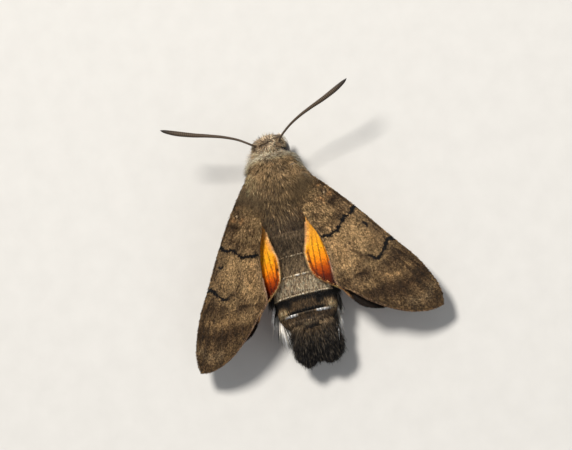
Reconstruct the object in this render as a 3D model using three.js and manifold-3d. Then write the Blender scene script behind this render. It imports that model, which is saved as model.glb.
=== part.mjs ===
// A life-size hummingbird hawk moth, standing still on its six feet with the wings swept back.
// Millimetres, +X towards the moth's right, +Y towards its head, +Z up, with the floor at z = 0.
// Body coordinates have their origin in the middle of the thorax, REST_HEIGHT above the floor.
// The outlines of the body are those of its coat of hair scales.

import * as THREE from "three";
import { mergeVertices } from "three/addons/utils/BufferGeometryUtils.js";
import Module from "manifold-3d";

const wasm = await Module();
wasm.setup();

const GAP = 0.3;
const REST_HEIGHT = 5.6;
const FLOOR = -REST_HEIGHT;

// Body profiles: values run evenly from the rear end to the front end, and blunt closes the ends.
const THORAX = {
  rear: -5.9,
  front: 5.3,
  blunt: 2.6,
  boxy: 2.4,
  sideways: [0, 0, 0, 0, -0.15, -0.3],
  halfWidth: [3.3, 3.75, 4.15, 4.3, 4.1, 4.9],
  top: [2.2, 3.1, 3.8, 4.0, 3.9, 4.3],
  bottom: [-2.2, -2.8, -3.2, -3.3, -3.1, -3.7],
};
const TEGULA = { at: [2.75, 1.2, 2.1], radii: [1.05, 2.5, 1.2], yawDeg: 8 };
const HEAD = { at: [-0.22, 5.7, -0.35], radii: [2.08, 1.97, 2.2] };
const EYE = { at: [1.14, 5.55, -0.62], radii: [1.1, 1.15, 1.26] };

// Abdomen: the rear edges of the dorsal plates, and the profile that they stand proud of.
const ABDOMEN = {
  rear: -16.7,
  front: -2.4,
  blunt: 2.3,
  boxy: 2.2,
  sideways: [-0.3, -0.24, -0.11, -0.03, 0, 0, 0],
  halfWidth: [4.9, 4.65, 4.18, 3.9, 3.8, 3.85, 3.4],
  top: [0.6, 1.3, 1.48, 1.65, 1.95, 2.5, 2.3],
  bottom: [-3.8, -3.87, -3.4, -3.17, -3.15, -3.3, -2.8],
};
const PLATE_EDGES = [-14.6, -12.3, -10.0, -7.7];
const PLATE_STEP = 0.12;

// Side tufts: locks that lie back along the flanks in rows, from high on the side to low on it.
const SIDE_TUFTS = {
  rows: [
    { y: -10.5, reach: 2.2 },
    { y: -12.5, reach: 2.3 },
    { y: -14.3, reach: 2.6 },
  ],
  anglesDeg: [34, 16, -2, -20, -38],
  sunk: 0.5,
  flare: 0.42,
  width: 1.25,
  thickness: 0.5,
};

const TAIL = {
  at: [-0.1, -17.15, -1.5],
  radii: [2.7, 1.9, 1.35],
  tiers: [
    { locks: 8, height: -0.75, reach: 3.1, halfFanDeg: 33 },
    { locks: 9, height: -0.1, reach: 3.35, halfFanDeg: 33 },
    { locks: 8, height: 0.5, reach: 3.05, halfFanDeg: 29 },
    { locks: 7, height: 0.95, reach: 2.3, halfFanDeg: 24 },
  ],
  root: 0.1,
  leftward: 0.07,
  width: 1.3,
  thickness: 0.6,
};

// Wings: s runs from the root towards the apex and c towards the trailing edge.
const MEMBRANE = 0.5;
const RIDGE_ABOVE = 0.14;
const RIDGE_BELOW = 0.1;
const ROOF_DEG = 20;
const ARCH = { height: 0.5, from: 2.0, span: 12.5 };
const CELL_STEPS = 4;
const OUTER_STEPS = 6;
const FOREWING = {
  root: [3.3, 1.8, 2.6],
  sweepDeg: { right: 35.4, left: 32.0 },
  margin: [
    [9.6, -1.36], [13.4, -1.5], [16.8, -1.68], [19.9, -1.3], [21.8, -0.62], [22.9, 0.3],
    [22.5, 1.55], [20.75, 3.6], [19.2, 4.65], [16.8, 5.72], [14.4, 6.4], [12.4, 7.06],
  ],
  leading: { inner: [[-0.6, -0.1], [1.5, -0.5], [4.8, -1.0], [8.1, -1.28]], outer: [[8.1, -1.28], [9.6, -1.36]] },
  trailing: { inner: [[-0.4, 1.2], [1.2, 2.75], [4.9, 3.8]], outer: [[4.9, 3.8], [8.2, 4.7], [12.4, 7.06]] },
  veins: [
    { name: "subcosta", root: [-0.6, 0.0], cell: [8.4, -1.12] },
    { name: "radius 1", root: [-0.6, 0.08], cell: [9.3, -0.92] },
    { name: "radius 2", root: [-0.6, 0.16], cell: [9.7, -0.8] },
    { name: "radius 3", root: [-0.6, 0.24], cell: [10.0, -0.68] },
    { name: "radius 4", root: [-0.6, 0.32], cell: [10.2, -0.56] },
    { name: "radius 5", root: [-0.6, 0.4], cell: [10.4, -0.42] },
    { name: "media 1", root: [-0.6, 0.48], cell: [10.5, -0.26] },
    { name: "media 2", root: [-0.6, 0.6], cell: [10.3, 0.2], inCell: true },
    { name: "media 3", root: [-0.6, 0.72], cell: [10.0, 0.68] },
    { name: "cubitus 1", root: [-0.6, 0.8], cell: [9.6, 0.86] },
    { name: "cubitus 2", root: [-0.6, 0.89], cell: [8.6, 1.45] },
    { name: "anal vein", root: [-0.5, 1.0], cell: [6.8, 2.9] },
  ],
};
const HINDWING = {
  root: [2.6, -2.4, 1.66],
  sweepDeg: { right: 40.0, left: 40.5 },
  margin: [
    [7.0, -1.7], [10.5, -1.55], [13.3, -0.8], [15.0, 0.5], [15.3, 2.0], [14.6, 3.7],
    [12.8, 4.85], [11.0, 4.95], [9.6, 4.85], [7.6, 5.35], [6.2, 5.62], [5.2, 5.35],
  ],
  leading: { inner: [[-0.6, -0.5], [3.0, -1.45], [5.2, -1.62]], outer: [[5.2, -1.62], [7.0, -1.7]] },
  trailing: { inner: [[-0.2, 0.0], [1.4, 1.35], [2.7, 3.0]], outer: [[2.7, 3.0], [3.6, 4.25], [5.2, 5.35]] },
  veins: [
    { name: "subcosta", root: [-0.6, -0.38], cell: [5.2, -1.2] },
    { name: "radius", root: [-0.6, -0.3], cell: [6.3, -0.6] },
    { name: "media 1", root: [-0.55, -0.24], cell: [6.6, -0.2] },
    { name: "media 2", root: [-0.5, -0.2], cell: [6.4, 0.45], inCell: true },
    { name: "media 3", root: [-0.45, -0.16], cell: [6.0, 1.1] },
    { name: "cubitus 1", root: [-0.4, -0.12], cell: [5.6, 1.4] },
    { name: "cubitus 2", root: [-0.35, -0.08], cell: [4.8, 1.9] },
    { name: "anal vein", root: [-0.3, -0.04], cell: [3.6, 2.7] },
  ],
};

// Limbs: points on the right side, mirrored for the left.
const LEG_SIDES = 8;
const TARSUS_HEIGHT = 0.2;
const TARSUS = FLOOR + TARSUS_HEIGHT;
const LEGS = {
  front: {
    path: [[0.8, 2.6, -1.9], [1.0, 3.9, -3.5], [1.35, 4.7, -3.6], [1.65, 5.1, -3.75],
      [1.4, 5.15, -4.6], [1.0, 5.4, TARSUS], [0.75, 6.3, TARSUS], [0.65, 7.2, TARSUS]],
    spurs: [],
  },
  middle: {
    path: [[1.1, 0.4, -2.2], [1.7, 0.5, -3.5], [3.3, 0.1, -3.2], [4.2, -0.4, -3.1],
      [4.75, -1.3, -4.2], [5.3, -2.4, TARSUS], [5.9, -3.7, TARSUS], [6.4, -5.0, TARSUS]],
    spurs: [0.62],
  },
  hind: {
    path: [[1.0, -2.0, -1.9], [1.5, -2.9, -3.5], [2.5, -4.1, -3.5], [3.3, -5.0, -3.4],
      [3.75, -6.3, -4.3], [4.1, -7.6, TARSUS], [4.25, -9.1, TARSUS], [4.3, -10.6, TARSUS]],
    spurs: [0.52, 0.63],
  },
};
const LEG_RADII = [0.62, 0.56, 0.5, 0.36, 0.36, 0.3, 0.29, 0.27];
const SPUR = { length: 0.9, radius: 0.16 };

const ANTENNA = {
  path: [[1.25, 6.0, 0.8], [1.73, 6.24, 2.05], [3.16, 7.2, 2.55], [4.77, 7.9, 3.08],
    [6.46, 8.42, 3.58], [8.18, 8.9, 4.02], [9.85, 9.48, 4.42], [11.1, 10.02, 4.7], [11.6, 10.3, 4.8]],
  radii: [0.3, 0.26, 0.25, 0.26, 0.29, 0.34, 0.36, 0.24, 0.06],
  steps: 18,
  sides: 6,
};
const PALP = {
  path: [[0.85, 5.2, -1.9], [0.98, 6.2, -2.75], [0.95, 7.0, -2.55], [0.88, 7.4, -1.75], [0.82, 7.35, -1.1]],
  radii: [0.46, 0.5, 0.48, 0.34, 0.14],
  tall: 1.25,
};
const TONGUE = { mouth: [-0.1, 5.9, -1.9], centre: [-0.1, 6.3, -3.35], outer: 1.1, inner: 0.28, turns: 1.4, radius: 0.26 };

const COLOURS = {
  coat: { color: 0x6b5a45, roughness: 0.95 },
  abdomen: { color: 0x4a3f33, roughness: 0.95 },
  tail: { color: 0x26221d, roughness: 0.9 },
  forewing: { color: 0x7a6750, roughness: 0.9 },
  hindwing: { color: 0xd9791c, roughness: 0.85 },
  feeler: { color: 0x332d25, roughness: 0.8 },
  leg: { color: 0x7b6a55, roughness: 0.9 },
  eye: { color: 0x1c120c, roughness: 0.2 },
};

// Geometry helpers

function point([x, y, z], side = 1) {
  return new THREE.Vector3(x * side, y, z);
}

function toSolid(geometry) {
  const bare = new THREE.BufferGeometry().setAttribute("position", geometry.getAttribute("position"));
  if (geometry.index) bare.setIndex(geometry.index);
  const merged = mergeVertices(bare, 1e-4);
  return new wasm.Manifold(new wasm.Mesh({
    numProp: 3,
    vertProperties: new Float32Array(merged.attributes.position.array),
    triVerts: new Uint32Array(merged.index.array),
  }));
}

function toGeometry(solid) {
  const mesh = solid.getMesh();
  const geometry = new THREE.BufferGeometry();
  geometry.setAttribute("position", new THREE.BufferAttribute(mesh.vertProperties, 3));
  geometry.setIndex(new THREE.BufferAttribute(mesh.triVerts, 1));
  geometry.computeVertexNormals();
  return geometry;
}

function largest(solid) {
  return solid.decompose().sort((a, b) => b.volume() - a.volume())[0];
}

function join(solids) {
  return largest(wasm.Manifold.union(solids));
}

function cut(solid, ...others) {
  return largest(others.reduce((left, other) => left.subtract(other), solid));
}

// A closed skin over rings of points that all have the same count, with flat fans at both ends.
function skin(rings) {
  const count = rings[0].length;
  const positions = rings.flat().flatMap((p) => [p.x, p.y, p.z]);
  const faces = [];
  for (let r = 0; r + 1 < rings.length; r++) {
    for (let i = 0; i < count; i++) {
      const j = (i + 1) % count;
      const a = r * count + i;
      const b = r * count + j;
      faces.push(a, b, b + count, a, b + count, a + count);
    }
  }
  for (const [r, flip] of [[0, true], [rings.length - 1, false]]) {
    const hub = positions.length / 3;
    const middle = rings[r].reduce((sum, p) => sum.add(p), new THREE.Vector3()).divideScalar(count);
    positions.push(middle.x, middle.y, middle.z);
    for (let i = 0; i < count; i++) {
      const a = r * count + i;
      const b = r * count + ((i + 1) % count);
      faces.push(hub, ...(flip ? [b, a] : [a, b]));
    }
  }
  const geometry = new THREE.BufferGeometry();
  geometry.setAttribute("position", new THREE.Float32BufferAttribute(positions, 3));
  geometry.setIndex(faces);
  const solid = toSolid(geometry);
  return solid.volume() > 0 ? solid : toSolid(turned(geometry));
}

function turned(geometry) {
  const faces = Array.from(geometry.index.array);
  for (let i = 0; i < faces.length; i += 3) [faces[i + 1], faces[i + 2]] = [faces[i + 2], faces[i + 1]];
  return geometry.clone().setIndex(faces);
}

function ellipsoid({ at, radii, yawDeg = 0 }, { side = 1, grow = 0, around = 16, along = 10, shift = 0 } = {}) {
  const geometry = new THREE.SphereGeometry(1, around, along);
  geometry.rotateX(Math.PI / 2);
  geometry.scale(...radii.map((r) => r + grow));
  geometry.rotateZ(THREE.MathUtils.degToRad(yawDeg * side));
  geometry.translate(at[0] * side + shift, at[1], at[2]);
  return toSolid(geometry);
}

// A smooth value from evenly spaced ones, with t from 0 to 1.
function between(values, t) {
  const curve = new THREE.SplineCurve(values.map((v) => new THREE.Vector2(v, 0)));
  return curve.getPoint(THREE.MathUtils.clamp(t, 0, 1)).x;
}

// One ring of a body profile at height y, as a rounded box section; grow moves it outwards.
function bodyRing(body, y, grow, sides, swell = 0) {
  const t = (y - body.rear) / (body.front - body.rear);
  const middle = (body.rear + body.front) / 2;
  const reach = (body.front - body.rear) / 2 + grow;
  const closing = Math.pow(Math.max(0, 1 - Math.pow(Math.abs(y - middle) / reach, body.blunt)), 1 / body.blunt);
  const top = between(body.top, t);
  const bottom = between(body.bottom, t);
  const sideways = between(body.sideways, t);
  const halfWidth = (between(body.halfWidth, t) + grow + swell) * closing;
  const halfHeight = ((top - bottom) / 2 + grow + swell) * closing;
  const ring = [];
  for (let i = 0; i < sides; i++) {
    const angle = (2 * Math.PI * i) / sides;
    const [x, z] = [Math.cos(angle), Math.sin(angle)];
    const length = Math.pow(Math.abs(x) ** body.boxy + Math.abs(z) ** body.boxy, -1 / body.boxy);
    ring.push(new THREE.Vector3(
      sideways + x * length * halfWidth, y, (top + bottom) / 2 + z * length * halfHeight));
  }
  return ring;
}

// The plates overlap like roof tiles, so the surface steps down behind each rear edge.
function bodySolid(body, { grow = 0, sides = 20, stations = 12, plates = [] } = {}) {
  const middle = (body.rear + body.front) / 2;
  const reach = (body.front - body.rear) / 2 + grow;
  const places = plates.flatMap((edge) => [{ y: edge - 0.06, swell: 0 }, { y: edge, swell: PLATE_STEP }]);
  for (let k = 0; k <= stations; k++) {
    const y = middle - reach * Math.cos((Math.PI * (k + 0.35)) / (stations + 0.7));
    if (plates.every((edge) => Math.abs(y - edge) > 0.4)) places.push({ y, swell: 0 });
  }
  places.sort((a, b) => a.y - b.y);
  return skin(places.map((p) => bodyRing(body, p.y, grow, sides, p.swell)));
}

// A point on a body's surface, moved outwards. The angle is upwards from the flank.
function onBody(body, y, side, angleDeg, outwards) {
  const angle = THREE.MathUtils.degToRad(side > 0 ? angleDeg : 180 - angleDeg);
  const ring = bodyRing(body, y, outwards, 72);
  return ring[THREE.MathUtils.euclideanModulo(Math.round((angle / (2 * Math.PI)) * 72), 72)];
}

// A tapering tube along a smooth path. tall stretches its section upright.
function tube(path, radii, { sides = LEG_SIDES, steps = 14, side = 1, tall = 1, turn = 0 } = {}) {
  const curve = new THREE.CatmullRomCurve3(path.map((p) => point(p, side)), false, "centripetal");
  const rings = [];
  for (let k = 0; k <= steps; k++) {
    const t = k / steps;
    const at = curve.getPoint(t);
    const along = curve.getTangent(t);
    const across = new THREE.Vector3().crossVectors(along, new THREE.Vector3(0, 0, 1));
    if (across.length() < 0.05) across.set(1, 0, 0);
    across.normalize();
    const up = new THREE.Vector3().crossVectors(across, along).normalize();
    const radius = between(radii, t);
    const ring = [];
    for (let i = 0; i < sides; i++) {
      const angle = turn + (2 * Math.PI * i) / sides;
      ring.push(at.clone()
        .addScaledVector(across, Math.cos(angle) * radius)
        .addScaledVector(up, Math.sin(angle) * radius * tall));
    }
    rings.push(ring);
  }
  return skin(rings);
}

// A flat, tapered lock of hair scales from root to tip, bowed towards up.
function lock({ root, tip, up, width, thickness, bow = 0.2 }) {
  const middle = root.clone().lerp(tip, 0.5).addScaledVector(up, bow);
  const curve = new THREE.QuadraticBezierCurve3(root, middle, tip);
  const across = new THREE.Vector3().crossVectors(tip.clone().sub(root), up).normalize();
  const shares = [[0, 0.75, 1], [0.4, 1, 1], [0.72, 0.85, 0.8], [0.92, 0.45, 0.5], [1, 0.08, 0.15]];
  return skin(shares.map(([t, wide, thick]) => {
    const at = curve.getPoint(t);
    const lift = new THREE.Vector3().crossVectors(across, curve.getTangent(t)).normalize();
    return [[1, 0], [0, 1], [-1, 0], [0, -1]].map(([a, b]) => at.clone()
      .addScaledVector(across, (a * wide * width) / 2)
      .addScaledVector(lift, (b * thick * thickness) / 2));
  }));
}

// Body

const thorax = (grow) => wasm.Manifold.union([
  bodySolid(THORAX, { grow }),
  ellipsoid(TEGULA, { side: 1, grow, around: 12, along: 8 }),
  ellipsoid(TEGULA, { side: -1, grow, around: 12, along: 8 }),
]);
const headShape = (grow) => ellipsoid(HEAD, { grow, around: 18, along: 12 });
const eye = (side, grow) => ellipsoid(EYE, { side, grow, shift: HEAD.at[0], around: 14, along: 8 });
const abdomenShape = (grow) => bodySolid(ABDOMEN, { grow, plates: PLATE_EDGES });

function sideTufts() {
  const { rows, anglesDeg, sunk, flare, width, thickness } = SIDE_TUFTS;
  const locks = [];
  rows.forEach((row, r) => {
    for (const side of [1, -1]) {
      anglesDeg.forEach((angleDeg, i) => {
        const angle = angleDeg - (r % 2) * 9;
        const root = onBody(ABDOMEN, row.y + 0.2 * (i % 2), side, angle, -sunk);
        const end = row.y - row.reach + 0.25 * (i % 2);
        const tip = onBody(ABDOMEN, Math.max(end, ABDOMEN.rear + 1.5), side, angle, flare).setY(end);
        const out = onBody(ABDOMEN, row.y, side, angle, 1).sub(onBody(ABDOMEN, row.y, side, angle, 0)).normalize();
        locks.push(lock({ root, tip, up: out, width, thickness, bow: 0.22 }));
      });
    }
  });
  return locks;
}

function tailFan() {
  const { at, radii, tiers, root: depth, leftward, width, thickness } = TAIL;
  const pieces = [ellipsoid(TAIL, { around: 16, along: 8 })];
  const up = new THREE.Vector3(0, 0, 1);
  for (const tier of tiers) {
    for (let i = 0; i < tier.locks; i++) {
      const share = (2 * i) / (tier.locks - 1) - 1;
      const angle = THREE.MathUtils.degToRad(tier.halfFanDeg * share);
      const root = new THREE.Vector3(
        at[0] + share * radii[0] * 0.6,
        at[1] + depth - 0.2 * Math.abs(share),
        at[2] + tier.height * (1 - 0.4 * share * share));
      const reach = tier.reach * (1 - 0.18 * share * share - leftward * share);
      const tip = root.clone().add(new THREE.Vector3(
        Math.sin(angle) * reach, -Math.cos(angle) * reach, -0.35 - 0.2 * share * share));
      pieces.push(lock({ root, tip, up, width, thickness, bow: 0.22 }));
    }
  }
  return join(pieces);
}

// Wings

function archAt(x) {
  const share = THREE.MathUtils.clamp((Math.abs(x) - ARCH.from) / ARCH.span, 0, 1.15);
  return ARCH.height * Math.sin(Math.PI * share);
}

function wingPlane(wing, side) {
  const sweep = THREE.MathUtils.degToRad(side > 0 ? wing.sweepDeg.right : wing.sweepDeg.left);
  const roof = THREE.MathUtils.degToRad(ROOF_DEG);
  return {
    root: point(wing.root, side),
    out: new THREE.Vector3(side * Math.sin(sweep) * Math.cos(roof), -Math.cos(sweep), -Math.sin(sweep) * Math.sin(roof)),
    back: new THREE.Vector3(-side * Math.cos(sweep) * Math.cos(roof), -Math.sin(sweep), Math.cos(sweep) * Math.sin(roof)),
    up: new THREE.Vector3(side * Math.sin(roof), 0, Math.cos(roof)),
  };
}

// Rays fan out from the root: leading edge, veins with a fold between each two, trailing edge.
function wingRays(wing) {
  const planar = (list) => new THREE.SplineCurve(list.map(([s, c]) => new THREE.Vector2(s, c)));
  const margin = planar(wing.margin);
  const count = wing.veins.length * 2 + 3;
  const cellShare = CELL_STEPS / (CELL_STEPS + OUTER_STEPS);
  const ends = wing.veins.map((v) => ({ root: new THREE.Vector2(...v.root), cell: new THREE.Vector2(...v.cell), vein: v }));
  const edgeRay = ({ inner, outer }) => {
    const [near, far] = [planar(inner), planar(outer)];
    return (t) => (t < cellShare ? near.getPointAt(t / cellShare) : far.getPointAt((t - cellShare) / (1 - cellShare)));
  };
  const bent = (root, cell, tip) => {
    const control = cell.clone().sub(root).normalize().multiplyScalar(cell.distanceTo(tip) * 0.4).add(cell);
    const outer = new THREE.QuadraticBezierCurve(cell, control, tip);
    return (t) => (t < cellShare ? root.clone().lerp(cell, t / cellShare) : outer.getPoint((t - cellShare) / (1 - cellShare)));
  };
  const mean = (a, b) => a.clone().lerp(b, 0.5);
  const rays = [];
  for (let k = 0; k < count; k++) {
    const tip = margin.getPointAt(k / (count - 1));
    const isVein = k % 2 === 0 && k > 0 && k < count - 1;
    const before = ends[Math.floor(k / 2) - 1];
    const after = ends[Math.floor(k / 2)];
    if (k === 0) rays.push({ at: edgeRay(wing.leading) });
    else if (k === count - 1) rays.push({ at: edgeRay(wing.trailing) });
    else if (isVein) rays.push({ at: bent(before.root, before.cell, tip), vein: before.vein });
    else {
      const edge = k === 1 ? rays[0].at : edgeRay(wing.trailing);
      const a = before ?? { root: edge(0), cell: edge(cellShare) };
      const b = after ?? { root: edge(0), cell: edge(cellShare) };
      rays.push({ at: bent(mean(a.root, b.root), mean(a.cell, b.cell), tip) });
    }
  }
  return rays;
}

function wingSolid(wing, side) {
  const plane = wingPlane(wing, side);
  const rays = wingRays(wing);
  const steps = CELL_STEPS + OUTER_STEPS;
  const flat = rays.map((ray) => Array.from({ length: steps + 1 }, (_, j) => ray.at(j / steps)));
  const raised = rays.map((ray, k) => flat[k].map((p, j) => {
    if (ray.vein) return ray.vein.inCell && j < CELL_STEPS ? 0 : 1;
    const [a, b] = [rays[k - 1]?.vein, rays[k + 1]?.vein];
    if (!a || !b) return 0;
    if ((a.inCell || b.inCell) && j <= CELL_STEPS) return j === CELL_STEPS ? 1 : 0;
    return 1 - THREE.MathUtils.smoothstep(flat[k - 1][j].distanceTo(flat[k + 1][j]), 0.3, 0.7);
  }));
  const across = rays.length;
  const positions = [];
  for (const [sign, ridge] of [[1, RIDGE_ABOVE], [-1, RIDGE_BELOW]]) {
    for (let j = 0; j <= steps; j++) {
      for (let k = 0; k < across; k++) {
        const p = plane.root.clone()
          .addScaledVector(plane.out, flat[k][j].x)
          .addScaledVector(plane.back, flat[k][j].y);
        p.z += archAt(p.x);
        p.addScaledVector(plane.up, sign * (MEMBRANE / 2 + ridge * raised[k][j]));
        positions.push(p.x, p.y, p.z);
      }
    }
  }
  const layer = across * (steps + 1);
  const faces = [];
  const quad = (a, b, c, d) => faces.push(a, b, c, a, c, d);
  for (let j = 0; j < steps; j++) {
    for (let k = 0; k + 1 < across; k++) {
      const a = j * across + k;
      quad(a, a + 1, a + across + 1, a + across);
      const [u, v, w, x] = [a, a + 1, a + across + 1, a + across].map((i) => i + layer);
      faces.push(u, w, v, u, x, w);
    }
    const [first, last] = [j * across, j * across + across - 1];
    quad(first, first + across, first + across + layer, first + layer);
    quad(last, last + layer, last + across + layer, last + across);
  }
  for (let k = 0; k + 1 < across; k++) {
    const far = steps * across + k;
    quad(k, k + layer, k + 1 + layer, k + 1);
    quad(far, far + 1, far + 1 + layer, far + layer);
  }
  const geometry = new THREE.BufferGeometry();
  geometry.setAttribute("position", new THREE.Float32BufferAttribute(positions, 3));
  geometry.setIndex(faces);
  const solid = toSolid(geometry);
  return solid.volume() > 0 ? solid : toSolid(turned(geometry));
}

// Limbs

function legSolid(leg, side) {
  const path = leg.path;
  const shank = tube(path, LEG_RADII, { side, steps: 17, turn: Math.PI / LEG_SIDES });
  const curve = new THREE.CatmullRomCurve3(path.map((p) => point(p, side)), false, "centripetal");
  const spurs = leg.spurs.flatMap((t) => [-1, 1].map((way) => {
    const root = curve.getPoint(t);
    const along = curve.getTangent(t);
    const sideways = new THREE.Vector3().crossVectors(along, new THREE.Vector3(0, 0, 1)).normalize();
    const tip = root.clone()
      .addScaledVector(along, SPUR.length * 0.8)
      .addScaledVector(sideways, way * SPUR.length * 0.62);
    const points = [root, root.clone().lerp(tip, 0.5), tip].map((p) => [p.x * side, p.y, p.z]);
    return tube(points, [SPUR.radius * 1.5, SPUR.radius * 1.2, SPUR.radius * 0.4], { side, sides: 5, steps: 2 });
  }));
  return join([shank, ...spurs]).trimByPlane([0, 0, 1], FLOOR);
}

// The tongue comes down from the mouth, forwards and under, and winds up into a flat coil.
function tonguePath() {
  const { mouth, centre, outer, inner, turns } = TONGUE;
  const count = Math.round(turns * 12);
  const coil = Array.from({ length: count + 1 }, (_, i) => {
    const angle = Math.PI * 0.62 - (2 * Math.PI * turns * i) / count;
    const radius = THREE.MathUtils.lerp(outer, inner, i / count);
    return [centre[0], centre[1] + Math.cos(angle) * radius, centre[2] + Math.sin(angle) * radius];
  });
  return [mouth, ...coil];
}

const bodyAndGap = thorax(GAP);
const headAndGap = headShape(GAP);
const abdomenAndGap = abdomenShape(GAP);

const solids = new Map();
solids.set("thorax", [thorax(0), COLOURS.coat]);
solids.set("head", [
  cut(headShape(0), bodyAndGap, eye(1, GAP), eye(-1, GAP)), COLOURS.coat]);
solids.set("abdomen", [cut(join([abdomenShape(0), ...sideTufts()]), bodyAndGap), COLOURS.abdomen]);
solids.set("tail_fan", [cut(tailFan(), abdomenAndGap), COLOURS.tail]);

for (const [word, side] of [["left", -1], ["right", 1]]) {
  solids.set(`eye_${word}`, [cut(eye(side, 0), bodyAndGap), COLOURS.eye]);
  solids.set(`forewing_${word}`, [cut(wingSolid(FOREWING, side), bodyAndGap), COLOURS.forewing]);
  solids.set(`hindwing_${word}`, [cut(wingSolid(HINDWING, side), bodyAndGap, abdomenAndGap), COLOURS.hindwing]);
  solids.set(`antenna_${word}`, [
    cut(tube(ANTENNA.path, ANTENNA.radii, { side, steps: ANTENNA.steps, sides: ANTENNA.sides }), headAndGap), COLOURS.feeler]);
  solids.set(`palp_${word}`, [
    cut(tube(PALP.path, PALP.radii, { side, steps: 9, tall: PALP.tall }), headAndGap), COLOURS.coat]);
  for (const [place, leg] of Object.entries(LEGS)) {
    solids.set(`leg_${place}_${word}`, [cut(legSolid(leg, side), bodyAndGap), COLOURS.leg]);
  }
}
solids.set("proboscis", [
  cut(tube(tonguePath(), [TONGUE.radius, TONGUE.radius], { sides: 6, steps: 30 }), headAndGap), COLOURS.feeler]);

// The origin is on the floor, under the middle of the whole moth.
const moth = new THREE.Group();
for (const [name, [solid, colour]] of solids) {
  const mesh = new THREE.Mesh(toGeometry(solid), new THREE.MeshStandardMaterial({ ...colour, metalness: 0 }));
  mesh.name = name;
  moth.add(mesh);
}
const box = new THREE.Box3().setFromObject(moth);
moth.position.set(-(box.min.x + box.max.x) / 2, -(box.min.y + box.max.y) / 2, REST_HEIGHT);

export default moth;
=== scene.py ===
"""A hummingbird hawk moth at life size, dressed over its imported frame.

Shapes are worked out in millimetres in the moth's own coordinates (x to its right, y to its head,
z up from the middle of the thorax) and are turned into metres in the frame when a mesh is made.
Wing coordinates are s, from the root to the tip, and c, from the front edge towards the rear edge.
"""

import math
from functools import partial

import bpy
import numpy as np
from mathutils import Matrix


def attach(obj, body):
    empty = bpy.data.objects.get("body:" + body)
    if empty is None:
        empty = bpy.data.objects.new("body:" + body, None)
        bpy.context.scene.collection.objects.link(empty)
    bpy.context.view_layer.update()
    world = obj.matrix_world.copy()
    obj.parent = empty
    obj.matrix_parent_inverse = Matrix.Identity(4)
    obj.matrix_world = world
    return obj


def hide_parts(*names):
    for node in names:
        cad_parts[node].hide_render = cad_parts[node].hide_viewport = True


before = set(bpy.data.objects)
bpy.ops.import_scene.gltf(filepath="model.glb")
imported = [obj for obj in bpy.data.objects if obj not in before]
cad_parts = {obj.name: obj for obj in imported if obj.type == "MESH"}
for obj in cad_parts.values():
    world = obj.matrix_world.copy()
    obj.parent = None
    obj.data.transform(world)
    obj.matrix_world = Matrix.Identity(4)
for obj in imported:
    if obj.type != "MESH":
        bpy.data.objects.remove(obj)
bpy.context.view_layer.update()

MM = 0.001
SHIFT = np.array([-0.4987, 5.0470, 5.6])  # the middle of the thorax in the frame, in millimetres
FLOOR = -5.6
PATCH = 0.0027  # side of one tuft's place in the baking map
SIDES = {"left": -1, "right": 1}
BOTH = (1, -1)

# The solids' named sizes

THORAX = {
    "rear": -5.9, "front": 5.3, "blunt": 2.6, "boxy": 2.4,
    "sideways": [0, 0, 0, 0, -0.15, -0.3],
    "half_width": [3.3, 3.75, 4.15, 4.3, 4.1, 4.9],
    "top": [2.2, 3.1, 3.8, 4.0, 3.9, 4.3],
    "bottom": [-2.2, -2.8, -3.2, -3.3, -3.1, -3.7],
}
ABDOMEN = {
    "rear": -16.7, "front": -2.4, "blunt": 2.3, "boxy": 2.2,
    "sideways": [-0.3, -0.24, -0.11, -0.03, 0, 0, 0],
    "half_width": [4.9, 4.65, 4.18, 3.9, 3.8, 3.85, 3.4],
    "top": [0.6, 1.3, 1.48, 1.65, 1.95, 2.5, 2.3],
    "bottom": [-3.8, -3.87, -3.4, -3.17, -3.15, -3.3, -2.8],
}
TEGULA = {"at": (2.75, 1.2, 2.1), "radii": (1.05, 2.5, 1.2), "yaw": 8}
HEAD = {"at": (-0.22, 5.7, -0.35), "radii": (2.08, 1.97, 2.2)}
EYE = {"at": (1.14, 5.55, -0.62), "radii": (1.1, 1.15, 1.26)}
SCAPE = {"at": (1.5, 6.12, 1.35), "radii": (0.2, 0.2, 0.3)}
NECK = {"at": (-0.2, 4.4, 0.0), "radii": (2.1, 1.25, 1.95)}
TAIL = {"at": (-0.1, -17.15, -1.5), "radii": (2.7, 1.9, 1.35)}
ANTENNA = (
    [(1.25, 6.0, 0.8), (1.73, 6.24, 2.05), (3.16, 7.2, 2.55), (4.77, 7.9, 3.08), (6.46, 8.42, 3.58),
     (8.18, 8.9, 4.02), (9.85, 9.48, 4.42), (11.1, 10.02, 4.7), (11.6, 10.3, 4.8)],
    [0.15, 0.13, 0.14, 0.17, 0.21, 0.27, 0.3, 0.2, 0.02])
PALP = (
    [(0.85, 5.2, -1.9), (0.98, 6.2, -2.75), (0.95, 7.0, -2.55), (0.88, 7.4, -1.75), (0.82, 7.35, -1.1)],
    [0.46, 0.5, 0.48, 0.34, 0.14])
TONGUE = {"mouth": (-0.1, 5.9, -1.9), "centre": (-0.1, 6.3, -3.35), "outer": 1.1, "inner": 0.28, "turns": 1.4}
SOLE = FLOOR + 0.2
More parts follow.
